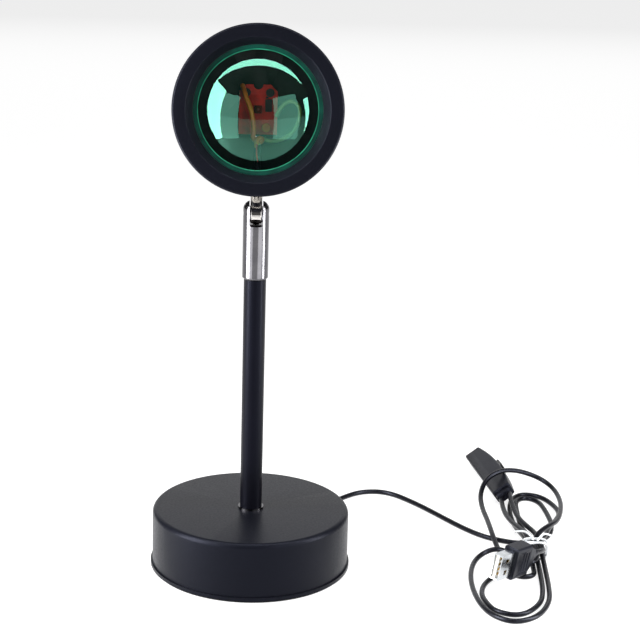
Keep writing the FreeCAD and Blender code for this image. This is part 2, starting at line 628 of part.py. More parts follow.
def make_light_engine():
    sink = cylinder(HOUSING_BORE_R - SLIP_GAP, SINK_BACK, SINK_FRONT)
    pitch = 2 * FIN_SPAN_R * 0.86 / (FIN_COUNT - 1)
    round_off = cylinder(FIN_SPAN_R, SINK_BACK - FIN_LENGTH, SINK_BACK)
    for i in range(FIN_COUNT):
        x = (i - (FIN_COUNT - 1) / 2) * pitch
        fin = block(x - FIN_T / 2, x + FIN_T / 2, -FIN_SPAN_R, FIN_SPAN_R, SINK_BACK - FIN_LENGTH, SINK_BACK)
        sink = sink.fuse(fin.common(round_off))
    for x, y in sink_spots:
        sink = sink.cut(cylinder(SMALL_SCREW_R + SLIP_GAP, SINK_BACK, SINK_FRONT, (x, y)))
    for x in (-BOARD_SCREW_X, BOARD_SCREW_X):
        sink = sink.cut(cylinder(SMALL_SCREW_R + RUN_GAP, SINK_BACK, SINK_FRONT, (x, BOARD_SCREW_Y)))
    wire_notch = cylinder(2 * HEAD_WIRE_R, SINK_BACK, SINK_FRONT, (0, -BOARD_H / 2 - 2))
    put_head("heat_sink", sink.cut(wire_notch).removeSplitter())
    one = screw(SMALL_SCREW_R, SMALL_HEAD_R, SMALL_HEAD_T, SINK_T + RIB_T - 0.5)
    put_head("heat_sink_screws", group([one.translated(Vec(x, y, SINK_BACK)) for x, y in sink_spots]))

    half_w, half_h, cut = BOARD_W / 2, BOARD_H / 2, BOARD_CORNER
    outline = [(-half_w, -half_h), (half_w, -half_h), (half_w, half_h - cut), (half_w - cut, half_h),
               (-half_w + cut, half_h), (-half_w, half_h - cut)]
    points = [Vec(x, y, SINK_FRONT) for x, y in outline]
    board = Part.Face(Part.makePolygon(points + points[:1])).extrude(Vec(0, 0, BOARD_T))
    top = SINK_FRONT + BOARD_T
    board = board.cut(cylinder(BOARD_NOTCH_R, SINK_FRONT, top, (0, half_h)))
    for x in (-BOARD_SCREW_X, BOARD_SCREW_X):
        board = board.cut(cylinder(SMALL_SCREW_R + SLIP_GAP, SINK_FRONT, top, (x, BOARD_SCREW_Y)))
    put_head("led_board", board)
    one = screw(SMALL_SCREW_R, SMALL_HEAD_R, SMALL_HEAD_T, BOARD_T + SINK_T - 0.5).rotated(ORIGIN, X_AXIS, 180)
    put_head("led_board_screws",
             group([one.translated(Vec(x, BOARD_SCREW_Y, top)) for x in (-BOARD_SCREW_X, BOARD_SCREW_X)]))
    half = CHIP_W / 2
    chip = block(-half, half, -half, half, top, top + CHIP_T)
    dome = Part.makeSphere(CHIP_DOME_R, Vec(0, 0, top + CHIP_T)).common(
        block(-half, half, -half, half, top + CHIP_T / 2, top + CHIP_T + CHIP_DOME_R))
    put_head("led_chip", chip.fuse(dome).removeSplitter())

    wires = []
    radius = HEAD_WIRE_R
    for side in (-1, 1):
        x = side * (BOARD_W / 2 - 2.5)
        foot = top + radius + 0.02
        route = [Vec(x, -BOARD_H / 2 + 3, foot), Vec(x, -BOARD_H / 2 - 3, foot),
                 Vec(side * radius * 1.6, -BOARD_H / 2 - 9, 1.0 * side),
                 Vec(side * radius * 1.3, -HOUSING_BORE_R + NECK_THREAD_UP + 1.2, 0.0)]
        wire, _ = tangent_line(route)
        wires.append(tube_along(wire, radius, route[0], route[1] - route[0]))
    put_head("lamp_wires", group(wires))


def make_rear_cover():
    back = HOUSING_BACK - COVER_T
    cover = cylinder(HOUSING_R, back, HOUSING_BACK)
    rim = [e for e in cover.Edges if len(e.Vertexes) == 1 and e.BoundBox.ZMax < back + 1e-3]
    cover = cover.makeFillet(1.2, rim)
    spigot_r = HOUSING_BORE_R - SLIP_GAP
    cover = cover.fuse(ring(spigot_r, spigot_r - COVER_SPIGOT_WALL, HOUSING_BACK, HOUSING_BACK + COVER_SPIGOT_T))
    for i in range(VENT_COUNT):
        y = (i - (VENT_COUNT - 1) / 2) * VENT_PITCH
        reach = sqrt(max(VENT_SPAN_R ** 2 - y * y, 1.0))
        vent = block(-reach, reach, y - VENT_W / 2, y + VENT_W / 2, back - 1, HOUSING_BACK + 1)
        cover = cover.cut(vent)
    for x, y in cover_spots:
        cover = cover.cut(cylinder(SMALL_SCREW_R + SLIP_GAP, back, HOUSING_BACK + COVER_SPIGOT_T, (x, y)))
        cover = cover.cut(cylinder(SMALL_HEAD_R + SLIP_GAP, back, back + SMALL_HEAD_T, (x, y)))
    put_head("rear_cover", cover.removeSplitter())
    one = screw(SMALL_SCREW_R, SMALL_HEAD_R, SMALL_HEAD_T - 0.1, COVER_SCREW_LENGTH)
    put_head("rear_cover_screws", group([one.translated(Vec(x, y, back + SMALL_HEAD_T)) for x, y in cover_spots]))


# ---------------------------------------------------------------- switch on the cord
# Drawn along +X from its near end, its button face up along +Z and its width along Y.
azimuth = radians(SWITCH_AZIMUTH)
switch_along = Vec(sin(azimuth), cos(azimuth), 0)
switch_right = Vec(cos(azimuth), -sin(azimuth), 0)
switch_roll = radians(SWITCH_ROLL)
switch_up = Z_AXIS * cos(switch_roll) + switch_right * sin(switch_roll)
switch_side = switch_up.cross(switch_along)
switch_low = SWITCH_W / 2 * abs(switch_side.z) + FLOOR_GAP
switch_place = FreeCAD.Placement(FreeCAD.Matrix(
    switch_along.x, switch_side.x, switch_up.x, SWITCH_NEAR[0],
    switch_along.y, switch_side.y, switch_up.y, SWITCH_NEAR[1],
    switch_along.z, switch_side.z, switch_up.z, switch_low,
    0, 0, 0, 1))


def arched_body(inset):
    """The switch's outline, pulled in by inset, as a solid as wide as what is left."""
    near, far = inset, SWITCH_L - inset
    low = inset
    points = [Vec(near, 0, SWITCH_H_NEAR - inset), Vec(SWITCH_L * 0.55, 0, SWITCH_H_MID - inset),
              Vec(far, 0, SWITCH_H_FAR - inset)]
    edges = [Part.Arc(*points).toShape()]
    corners = [points[2], Vec(far, 0, low), Vec(near, 0, low), points[0]]
    edges += [Part.LineSegment(a, b).toShape() for a, b in zip(corners, corners[1:])]
    half = SWITCH_W / 2 - inset
    return Part.Face(Part.Wire(edges)).extrude(Vec(0, 2 * half, 0)).translated(Vec(0, -half, 0))


def put_switch(name, shape):
    placed = shape.copy()
    placed.Placement = switch_place.multiply(placed.Placement)
    nodes[name] = placed


def make_switch():
    body = arched_body(0)
    body = body.makeFillet(SWITCH_EDGE, body.Edges)
    hollow = body.cut(arched_body(SWITCH_WALL))
    hole = block(BUTTON_AT - BUTTON_L / 2 - SLIP_GAP, BUTTON_AT + BUTTON_L / 2 + SLIP_GAP,
                 -BUTTON_W / 2 - SLIP_GAP, BUTTON_W / 2 + SLIP_GAP, SWITCH_SPLIT, SWITCH_H_MID + 5)
    grommet_hole = block(-1, SWITCH_WALL + 1, -GROMMET_W / 2, GROMMET_W / 2,
                         GROMMET_LOW, GROMMET_HIGH)
    hollow = hollow.cut(grommet_hole)
    wide = SWITCH_L + 20
    lower_space = block(-10, wide, -SWITCH_W, SWITCH_W, -5, SWITCH_SPLIT)
    upper_space = block(-10, wide, -SWITCH_W, SWITCH_W, SWITCH_SPLIT, 30)
    put_switch("switch_lower_shell", hollow.common(lower_space))
    put_switch("switch_upper_shell", hollow.common(upper_space).cut(hole))

    grommet = block(-GROMMET_L, SWITCH_WALL, -GROMMET_W / 2 + FIT_GAP, GROMMET_W / 2 - FIT_GAP,
                    GROMMET_LOW + FIT_GAP, GROMMET_HIGH - FIT_GAP)
    upright = [e for e in grommet.Edges if e.BoundBox.XLength > 1]
    put_switch("switch_grommet", grommet.makeFillet(1.2, upright))

    arch_r = ((SWITCH_L / 2) ** 2 + 3.0 ** 2) / 6.0
    foot_top = SWITCH_H_MID - SWITCH_WALL - 0.25 - abs(BUTTON_AT - SWITCH_L * 0.55) ** 2 / (2 * arch_r)
    cap = block(BUTTON_AT - BUTTON_L / 2, BUTTON_AT + BUTTON_L / 2, -BUTTON_W / 2, BUTTON_W / 2,
                foot_top - BUTTON_FOOT_T, SWITCH_H_MID + BUTTON_PROUD - 0.3)
    cap_top = [e for e in cap.Edges if e.BoundBox.ZMin > SWITCH_H_MID]
    cap = cap.makeFillet(0.5, cap_top)
    foot = block(BUTTON_AT - BUTTON_L / 2 - BUTTON_FOOT, BUTTON_AT + BUTTON_L / 2 + BUTTON_FOOT,
                 -BUTTON_W / 2 - 0.3, BUTTON_W / 2 + 0.3, foot_top - BUTTON_FOOT_T - 0.35, foot_top - 0.35)
    put_switch("switch_button", cap.fuse(foot).removeSplitter())

    contact_top = foot_top - BUTTON_FOOT_T - 0.35 - BUTTON_TRAVEL - 0.15
    inner_half = SWITCH_W / 2 - SWITCH_WALL - SLIP_GAP
    board = block(BUTTON_AT - CONTACT_L / 2, BUTTON_AT + CONTACT_L / 2, -inner_half, inner_half,
                  SWITCH_WALL, SWITCH_WALL + CONTACT_T)
    tact = block(BUTTON_AT - 2.2, BUTTON_AT + 2.2, -1.8, 1.8, SWITCH_WALL + CONTACT_T, contact_top)
    put_switch("switch_contact_block", board.fuse(tact).removeSplitter())


def lead_end(height):
    """Where a lead meets the grommet's end face."""
    return switch_place.multVec(Vec(-GROMMET_L, 0, height))


# ---------------------------------------------------------------- plug on the cord
# Drawn with its nose along +X from the grip's front face, its wide side along Z.
yaw = radians(PLUG_YAW)
pitch = radians(PLUG_PITCH)
flat_nose = Vec(-cos(yaw), -sin(yaw), 0)
plug_side = flat_nose.cross(Z_AXIS)
plug_nose = flat_nose * cos(pitch) + Z_AXIS * sin(pitch)
upright = plug_side.cross(plug_nose)
roll = radians(PLUG_ROLL)
plug_up = upright * cos(roll) + plug_side * sin(roll)
plug_thick = plug_up.cross(plug_nose)
plug_place = FreeCAD.Placement(FreeCAD.Matrix(
    plug_nose.x, plug_thick.x, plug_up.x, PLUG_AT[0],
    plug_nose.y, plug_thick.y, plug_up.y, PLUG_AT[1],
    plug_nose.z, plug_thick.z, plug_up.z, PLUG_AT[2],
    0, 0, 0, 1))
PLUG_BACK = GRIP_L + GRIP_TAPER + TAIL_L


def put_plug(name, shape):
    placed = shape.copy()
    placed.Placement = plug_place.multiply(placed.Placement)
    nodes[name] = placed


def slab(x_low, x_high, thick, wide):
    """A box centred on the plug's axis."""
    return block(x_low, x_high, -thick / 2, thick / 2, -wide / 2, wide / 2)


def section(x, thick, wide):
    """A rectangle across the plug's axis."""
    corners = [Vec(x, -thick / 2, -wide / 2), Vec(x, thick / 2, -wide / 2),
               Vec(x, thick / 2, wide / 2), Vec(x, -thick / 2, wide / 2)]
    return Part.makePolygon(corners + corners[:1])


def make_plug():
    hollow_t = SHELL_T - 2 * SHELL_SHEET
    hollow_w = SHELL_W - 2 * SHELL_SHEET
    shell = slab(-SHELL_IN, SHELL_OUT, SHELL_T, SHELL_W).cut(slab(-SHELL_IN + 1, SHELL_OUT + 1, hollow_t, hollow_w))
    for side in (-1, 1):
        for z in (-2.8, 2.8):
            window = block(SHELL_OUT - 6.2, SHELL_OUT - 3.8, side * SHELL_T / 2 - 1, side * SHELL_T / 2 + 1,
                           z - 1.1, z + 1.1)
            shell = shell.cut(window)
    put_plug("plug_shell", shell)

    tongue_y = -hollow_t / 2 + TONGUE_PLASTIC_T / 2 + 0.02
    tongue = slab(-SHELL_IN + 1.02, SHELL_OUT - TONGUE_INSET, TONGUE_PLASTIC_T, hollow_w - 0.1)
    tongue = tongue.translated(Vec(0, tongue_y, 0))
    face_y = tongue_y + TONGUE_PLASTIC_T / 2
    strips = []
    for i in range(4):
        z = (i - 1.5) * CONTACT_PITCH
        strips.append(block(-SHELL_IN + 2, SHELL_OUT - TONGUE_INSET - 1, face_y, face_y + CONTACT_SHEET,
                            z - CONTACT_W / 2, z + CONTACT_W / 2))
    put_plug("plug_tongue", tongue)
    put_plug("plug_contacts", group(strips))

    grip = slab(-GRIP_L, 0, GRIP_T, GRIP_W)
    long_edges = [e for e in grip.Edges if e.BoundBox.XLength > 1]
    grip = grip.makeFillet(GRIP_EDGE, long_edges)
    taper = Part.makeLoft([section(-GRIP_L, GRIP_T - GRIP_EDGE, GRIP_W - GRIP_EDGE),
                           section(-GRIP_L - GRIP_TAPER, TAIL_T, TAIL_W)], True, True)
    tail = Part.makeCone(TAIL_T / 2, CORD_R + 0.4, TAIL_L, Vec(-GRIP_L - GRIP_TAPER, 0, 0), X_AXIS * -1)
    grip = grip.fuse(taper).fuse(tail)
    grip = grip.cut(slab(-SHELL_IN - 0.05, 1, SHELL_T + 0.1, SHELL_W + 0.1))
    for i in range(3):
        x = -GRIP_L + 1.6 + i * 2.2
        for side in (-1, 1):
            groove = block(x, x + 0.9, side * GRIP_T / 2 - 0.35, side * GRIP_T / 2 + 0.35, -4.5, 4.5)
            grip = grip.cut(groove)
    put_plug("plug_grip", grip.removeSplitter())


# ---------------------------------------------------------------- cord routes
FLOOR_Z = CORD_R + FLOOR_GAP
ARC_SHARE = 0.45
gland_end = Vec(0, 0, GLAND_Z) + gland_way * (BASE_R + GLAND_NOSE)

# The free stretch from the gland to the hank, point by point.
FEED_ROUTE = [
    (31.0, 58.4, 4.0), (36.6, 68.4, FLOOR_Z), (44.2, 78.6, FLOOR_Z), (55.0, 88.4, FLOOR_Z),
    (68.0, 88.6, FLOOR_Z), (80.5, 75.0, FLOOR_Z), (92.0, 58.4, FLOOR_Z), (101.5, 44.2, FLOOR_Z),
    (110.5, 33.6, FLOOR_Z), (119.0, 28.2, FLOOR_Z)]


def slot_z(row):
    return TIE_LOW_Z + row * TIE_PITCH


def through_tie(column, row, way):
    """Two stations that carry a strand through the tie; way +1 goes away, -1 comes nearer."""
    x = TIE_X + column * TIE_PITCH
    return [(x, TIE_Y - way * TIE_HALF, slot_z(row), 90.0 * way), (x, TIE_Y + way * TIE_HALF, slot_z(row), 90.0 * way)]


def switch_side_route(join, lead):
    """Stations from the feed, through three loops and the tie, to the switch's lower lead."""
    inner_loop = [(128.2, 24.8, FLOOR_Z), (138.0, 28.0, FLOOR_Z), (144.2, 36.5, FLOOR_Z), (146.3, 50.0, FLOOR_Z),
                  (145.4, 63.0, FLOOR_Z), (144.0, 69.5, FLOOR_Z), (141.4, 77.0, FLOOR_Z), (136.4, 81.6, FLOOR_Z, 176.0),
                  (132.6, 77.5, FLOOR_Z), (131.0, 67.0, FLOOR_Z), (130.6, 50.0, FLOOR_Z), (131.5, 40.0, 1.5),
                  (133.7, 25.6, 4.15)]
    near_loop = [(133.5, -12.0, FLOOR_Z), (133.1, -29.6, FLOOR_Z), (130.0, -43.5, FLOOR_Z),
                 (119.5, -55.8, FLOOR_Z, 180.0), (110.4, -51.4, FLOOR_Z), (106.3, -42.5, FLOOR_Z),
                 (104.8, -33.0, FLOOR_Z), (107.6, -21.6, FLOOR_Z), (114.6, -12.6, 1.9), (120.6, -7.6, 4.1),
                 (127.0, -6.2, 4.5), (131.7, -3.4, 4.6), (134.0, 3.0, 5.35)]
    outer_loop = [(135.2, 20.6, 7.4), (138.6, 24.8, 8.7), (143.0, 30.5, 8.8), (147.2, 38.6, 7.4), (150.4, 51.5, 6.4),
                  (152.6, 68.0, 4.8), (151.6, 81.5, 5.0), (148.2, 90.4, 6.2), (142.6, 94.4, 8.4), (133.0, 92.4, 12.2),
                  (124.0, 88.4, 13.4), (117.6, 84.0, 10.4), (113.6, 75.0, 6.0), (113.4, 62.0, 4.2), (114.6, 45.0, 4.1),
                  (115.2, 31.5, 4.1), (116.6, 18.0, 2.0), (119.0, 6.0, FLOOR_Z), (123.0, -7.5, FLOOR_Z),
                  (126.8, -12.8, FLOOR_Z), (129.6, -10.4, FLOOR_Z), (130.8, -3.4, 1.5), (131.0, 3.6, 4.5)]
    to_lead = [(130.6, 24.0, 7.1), (127.8, 34.0, 6.1), (125.2, 44.5, 4.9), (123.2, 60.0, 4.2)]
    return (join + inner_loop + through_tie(0, 0, -1) + near_loop + through_tie(0, 1, 1)
            + outer_loop + through_tie(-1, 1, 1) + to_lead + lead)


def plug_side_route(lead, plug):
    """Stations from the switch's upper lead, through two loops and the tie, to the plug."""
    from_lead = [(128.3, 62.0, 5.2), (129.6, 50.0, 4.3), (132.6, 40.0, 4.3), (135.4, 33.0, 4.2), (136.7, 26.0, 4.15)]
    near_loop = [(136.8, -8.0, FLOOR_Z), (136.4, -24.0, FLOOR_Z), (134.6, -41.0, FLOOR_Z), (127.5, -56.5, FLOOR_Z),
                 (117.0, -62.6, FLOOR_Z, 180.0), (109.0, -57.0, FLOOR_Z), (103.9, -46.0, FLOOR_Z),
                 (101.5, -30.0, FLOOR_Z), (101.6, -13.0, FLOOR_Z), (104.6, 2.0, FLOOR_Z), (109.4, 9.0, 2.4),
                 (115.0, 11.2, 4.1), (120.0, 9.4, 4.3), (126.4, 4.0, 1.35)]
    far_loop = [(130.7, 24.6, 4.2), (128.8, 38.0, 2.2), (127.4, 50.0, FLOOR_Z), (127.2, 63.0, FLOOR_Z),
                (128.4, 74.0, FLOOR_Z), (131.0, 82.6, FLOOR_Z), (136.6, 87.2, FLOOR_Z), (144.8, 83.8, FLOOR_Z),
                (150.0, 73.0, FLOOR_Z), (151.3, 61.0, 2.0), (147.5, 47.0, 4.0), (143.0, 36.1, 4.8), (140.4, 25.4, 5.6),
                (137.8, 19.8, 6.1)]
    return (lead + from_lead + through_tie(1, 0, -1) + near_loop + through_tie(-1, 0, 1)
            + far_loop + through_tie(1, 1, -1) + [(136.4, 2.4, 7.3)] + plug)


def make_cord():
    route = [gland_end] + [Vec(*p) for p in FEED_ROUTE]
    wire, radii = tangent_line(route)
    feed = tube_along(wire, CORD_R, route[0], route[1] - route[0])
    print("feed radii", ["%.0f" % r for r in radii], "length %.0f" % wire.Length)
    check_tube("cord_feed", feed, wire, CORD_R)
    nodes["cord_feed"] = feed

    join = route[-1]
    join_way = (route[-1] - route[-2]).normalize()
    heading = degrees(atan2(join_way.y, join_way.x))
    low_lead = lead_end(LEAD_LOW)
    stations = switch_side_route([(*join, heading)], [(*low_lead, 90.0 - SWITCH_AZIMUTH)])
    hank, hank_wire = loose_tube(stations, join_way, switch_along)
    check_tube("cord_hank", hank, hank_wire, CORD_R)
    nodes["cord_hank"] = hank

    high_lead = lead_end(LEAD_HIGH)
    plug_end = plug_place.multVec(Vec(-PLUG_BACK, 0, 0))
    plug_heading = degrees(atan2(plug_nose.y, plug_nose.x))
    stations = plug_side_route([(*high_lead, -90.0 - SWITCH_AZIMUTH)], [(*plug_end, plug_heading)])
    lead, lead_wire = loose_tube(stations, switch_along * -1, plug_nose)
    check_tube("cord_hank_plug_side", lead, lead_wire, CORD_R)
    nodes["cord_hank_plug_side"] = lead

    least_gap("cord_hank", hank_wire, [("feed", wire), ("plug side", lead_wire)])
    least_gap("cord_hank_plug_side", lead_wire, [("feed", wire)])
    print("cord in all %.0f" % (wire.Length + hank_wire.Length + lead_wire.Length))


def make_tie():
    half_w = 1.5 * TIE_PITCH + SEAT_GAP
    low = TIE_LOW_Z - CORD_R - SEAT_GAP
    high = slot_z(1) + CORD_R + SEAT_GAP
    tie_length = 2 * TIE_HALF - 1.0
    space = block(TIE_X - half_w, TIE_X + half_w, TIE_Y - tie_length / 2, TIE_Y + tie_length / 2, low, high)
    band = block(TIE_X - half_w - TIE_WALL, TIE_X + half_w + TIE_WALL, TIE_Y - tie_length / 2,
                 TIE_Y + tie_length / 2, low - TIE_WALL, high + TIE_WALL)
    corners = [e for e in band.Edges if e.BoundBox.YLength > 1]
    band = band.makeFillet(1.6, corners)
    nodes["cord_tie"] = band.cut(space)


def make_inner_lead():
    route = [gland_end, Vec(0, 0, GLAND_Z), Vec(0, 0, STUD_TOP)]
    wire, _ = tangent_line(route, INNER_LEAD_BEND)
    nodes["inner_lead"] = tube_along(wire, CORD_R, route[0], route[1] - route[0])


make_base()
make_gland()
make_stem()
make_swivel()
make_neck()
make_housing()
make_bezel_and_lens()
make_light_engine()
make_rear_cover()
make_switch()
make_plug()
make_cord()
make_tie()
make_inner_lead()

os.makedirs("parts", exist_ok=True)
for name, shape in nodes.items():
    if not shape.isValid():
        print("NOT VALID", name)
    shape.exportStep("parts/%s.step" % name)
    box = shape.BoundBox
    print("%-22s solids %d  vol %9.1f  x %.1f..%.1f y %.1f..%.1f z %.1f..%.1f" % (
        name, len(shape.Solids), shape.Volume, box.XMin, box.XMax, box.YMin, box.YMax, box.ZMin, box.ZMax))
print("pivot", PIVOT_Z, "head centre", head_centre, "up", switch_up, len(nodes), "nodes")
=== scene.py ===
"""The looks of a sunset projection lamp: weighted base, thin stem, tilting head with a coated lens, tied USB cord."""

import logging
import math
from dataclasses import dataclass, field
from enum import Enum
from typing import Any, Sequence

import bmesh
import bpy
from mathutils import Matrix, Vector


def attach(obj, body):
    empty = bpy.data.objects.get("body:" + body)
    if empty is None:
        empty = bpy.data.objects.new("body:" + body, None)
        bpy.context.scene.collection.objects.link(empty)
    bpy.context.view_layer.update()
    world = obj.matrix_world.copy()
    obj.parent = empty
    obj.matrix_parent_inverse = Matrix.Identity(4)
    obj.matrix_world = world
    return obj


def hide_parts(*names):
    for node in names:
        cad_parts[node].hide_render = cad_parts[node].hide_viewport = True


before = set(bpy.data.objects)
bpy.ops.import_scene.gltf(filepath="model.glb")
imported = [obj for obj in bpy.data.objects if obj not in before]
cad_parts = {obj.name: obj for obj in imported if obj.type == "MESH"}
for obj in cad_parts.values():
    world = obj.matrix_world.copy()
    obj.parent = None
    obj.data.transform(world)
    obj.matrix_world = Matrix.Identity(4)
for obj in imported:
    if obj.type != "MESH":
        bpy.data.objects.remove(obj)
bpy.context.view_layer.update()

MM = 0.001
LOG = logging.getLogger("lamp")

Point = tuple[float, float, float]
Links = dict[str, bpy.types.NodeSocket]

# The lamp head's own frame: its axis runs forward along local Z, its up along local Y.
HEAD = Matrix.Translation(Vector((0.0, 9.564, 212.295)) * MM) @ Matrix.Rotation(math.radians(78.0), 4, "X")

# Edges that bend more than this stay crisp.
SHARP_DEG = 32.0
TIE_SHARP_DEG = 50.0
# Corners closer than this are one: in the CAD triangles, and in a turned profile.
CAD_WELD_M = 2e-6
TURNED_WELD_M = 1e-7
# A drum's face is an outer one if its normal points away from the axis at least this squarely.
OUTER_COSINE = 0.98
# The stretches of a noise's range that colour and gloss follow.
DRIFT_BAND = (0.35, 0.65)
GLOSS_BAND = (0.3, 0.7)
LEAST_ROUGHNESS = 0.02
BUMP_STRENGTH = 0.6

# ---------------------------------------------------------------- small tools
def linear(code: str) -> tuple[float, float, float, float]:
    """Turns an sRGB hex colour into linear RGBA.

    Args:
        code: the colour as "#rrggbb".

    Returns:
        Red, green, blue and an alpha of 1.
    """
    parts = [int(code[i:i + 2], 16) / 255 for i in (1, 3, 5)]
    red, green, blue = (c / 12.92 if c <= 0.04045 else ((c + 0.055) / 1.055) ** 2.4 for c in parts)
    return red, green, blue, 1.0


def add_node(tree: bpy.types.NodeTree, kind: str, values: dict[Any, Any] | None = None,
             links: Links | None = None, **settings: Any) -> bpy.types.Node:
    """Adds one node with its settings, its sockets' values and its incoming links.

    Args:
        tree: the node tree.
        kind: the node's type name.
        values: socket name or number to its value.
        links: socket name or number to the socket that feeds it.
        **settings: the node's own properties.

    Returns:
        The new node.
    """
    node = tree.nodes.new(kind)
    for key, value in settings.items():
        setattr(node, key, value)
    for key, value in (values or {}).items():
        node.inputs[key].default_value = value
    for key, source in (links or {}).items():
        tree.links.new(source, node.inputs[key])
    return node


def finish_mesh(mesh: bpy.types.Mesh, sharp_deg: float = SHARP_DEG) -> bpy.types.Mesh:
    """Shades a mesh smooth, but keeps its sharp edges crisp.

    Args:
        mesh: the mesh.
        sharp_deg: the bend from which an edge counts as sharp, in degrees.

    Returns:
        The same mesh.
    """
    mesh.shade_smooth()
    mesh.set_sharp_from_angle(angle=math.radians(sharp_deg))
    return mesh


def add_piece(name: str, mesh: bpy.types.Mesh, body: str, finishes: Sequence[bpy.types.Material] = (),
              stands_for: Sequence[str] = ()) -> bpy.types.Object:
    """Puts a mesh into the scene as a piece of the lamp.

    Args:
        name: the piece's name.
        mesh: its mesh, with its place in it.
        body: the CAD body that it rides on.
        finishes: its materials, or none if the mesh has them.
        stands_for: the CAD nodes that it replaces.

    Returns:
        The piece's object.
    """
    piece = bpy.data.objects.new(name, mesh)
    bpy.context.scene.collection.objects.link(piece)
    for finish in finishes:
        mesh.materials.append(finish)
    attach(piece, body)
    if stands_for:
        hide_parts(*stands_for)
    LOG.info("%s: %d faces on %s", name, len(mesh.polygons), body)
    return piece


def turned_mesh(name: str, profile: Sequence[tuple[float, float]], place: Matrix = Matrix(), sides: int = 128,
                finish_of: Sequence[int] = ()) -> bpy.types.Mesh:
    """Turns a profile about its own Z, as on a lathe.

    Args:
        name: the mesh's name.
        profile: (radius, height) corners in mm, from the lowest to the highest outside; closed if first is last.
        place: where the turned shape stands.
        sides: the number of sides.
        finish_of: the material number of each stretch of the profile.

    Returns:
        The mesh, smooth between its sharp edges.
    """
    shape = bmesh.new()
    rings: list[list[bmesh.types.BMVert]] = []
    for radius, height in profile:
        if radius < 1e-6:
            rings.append([shape.verts.new((0.0, 0.0, height * MM))])
        else:
            rings.append([shape.verts.new((radius * MM * math.cos(math.tau * i / sides),
                                           radius * MM * math.sin(math.tau * i / sides), height * MM))
                          for i in range(sides)])
    for step, (low, high) in enumerate(zip(rings, rings[1:])):
        for i in range(sides):
            k = (i + 1) % sides
            corners = [low[i % len(low)], low[k % len(low)], high[k % len(high)], high[i % len(high)]]
            loop = list(dict.fromkeys(corners))
            if len(loop) > 2:
                shape.faces.new(loop).material_index = finish_of[step] if step < len(finish_of) else 0
    bmesh.ops.remove_doubles(shape, verts=shape.verts, dist=TURNED_WELD_M)
    bmesh.ops.recalc_face_normals(shape, faces=shape.faces)
    shape.transform(place)
    mesh = bpy.data.meshes.new(name)
    shape.to_mesh(mesh)
    shape.free()
    return finish_mesh(mesh)


def rounded(profile: Sequence[tuple[float, float]], radius: float, steps: int = 5) -> list[tuple[float, float]]:
    """Rounds the corners of an open profile.

    Args:
        profile: (radius, height) corners in mm.
        radius: the rounding in mm, less where a side is short.
        steps: facets for each corner.

    Returns:
        The profile with small arcs for its corners.
    """
    points = [Vector(p) for p in profile]
    out = [points[0]]
    for before, here, after in zip(points, points[1:], points[2:]):
        reach = min(radius, (here - before).length * 0.45, (after - here).length * 0.45)
        start = here + (before - here).normalized() * reach
        end = here + (after - here).normalized() * reach
        for i in range(steps + 1):
            t = i / steps
            out.append(start * (1 - t) ** 2 + here * 2 * t * (1 - t) + end * t ** 2)
    out.append(points[-1])
    return [(p.x, p.y) for p in out]


def cad_copy(node: str) -> bpy.types.Mesh:
    """A copy of a CAD node's mesh with its loose triangles merged and its rounds shaded smooth.

    Args:
        node: the CAD node's name.

    Returns:
        The copy, with the node's place in it.
    """
    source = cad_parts[node]
    shape = bmesh.new()
    shape.from_mesh(source.data)
    shape.transform(source.matrix_world)
    bmesh.ops.remove_doubles(shape, verts=shape.verts, dist=CAD_WELD_M)
    mesh = bpy.data.meshes.new(node + "_copy")
    shape.to_mesh(mesh)
    shape.free()
    return finish_mesh(mesh)


def true_round(mesh: bpy.types.Mesh, place: Matrix) -> bpy.types.Mesh:
    """Turns the normals of a drum's outer faces straight away from its axis, so long CAD triangles don't streak.

    Args:
        mesh: the drum's mesh.
        place: the drum's own frame, its axis along Z.

    Returns:
        The same mesh.
    """
    back, turn = place.inverted(), place.to_3x3()
    normals: list[Vector] = []
    for face in mesh.polygons:
        centre = back @ face.center
        away = (turn @ Vector((centre.x, centre.y, 0.0))).normalized()
        for corner in face.vertices:
            spot = back @ mesh.vertices[corner].co
            radial = (turn @ Vector((spot.x, spot.y, 0.0))).normalized()
            normals.append(radial if face.normal.dot(away) > OUTER_COSINE else Vector((0.0, 0.0, 0.0)))
    mesh.normals_split_custom_set(normals)
    return mesh


def on_circle(radius: float, height: float, angles: Sequence[float]) -> list[Point]:
    """Places on a circle about Z.

    Args:
        radius: the circle's radius in mm.
        height: its height in mm.
        angles: the places' angles in degrees.

    Returns:
        The places in mm.
    """
    return [(radius * math.cos(math.radians(a)), radius * math.sin(math.radians(a)), height) for a in angles]


def dress(node: str, finish: bpy.types.Material) -> None:
    """Gives a CAD node's object a finish and leaves its shape alone.

    Args:
        node: the CAD node's name.
        finish: its material.
    """
    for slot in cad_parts[node].material_slots:
        slot.material = finish


def strand(name: str, points: Sequence[Point], thickness: float, finish: bpy.types.Material,
           sides: int = 6) -> bpy.types.Object:
    """A round strand along control points.

    Args:
        name: the curve's name.
        points: its control points in mm.
        thickness: its diameter in mm.
        finish: its material.
        sides: how finely its section is rounded.

    Returns:
        The curve's object, one open smooth spline.
    """
    data = bpy.data.curves.new(name, "CURVE")
    data.dimensions = "3D"
    data.resolution_u = 10
    data.bevel_depth = thickness / 2 * MM
    data.bevel_resolution = sides
    data.use_fill_caps = True
    spline = data.splines.new("NURBS")
    spline.points.add(len(points) - 1)
    for spot, place in zip(spline.points, points):
        spot.co = (*(c * MM for c in place), 1.0)
    spline.order_u = 3
    spline.use_endpoint_u = True
    data.materials.append(finish)
    piece = bpy.data.objects.new(name, data)
    bpy.context.scene.collection.objects.link(piece)
    return piece


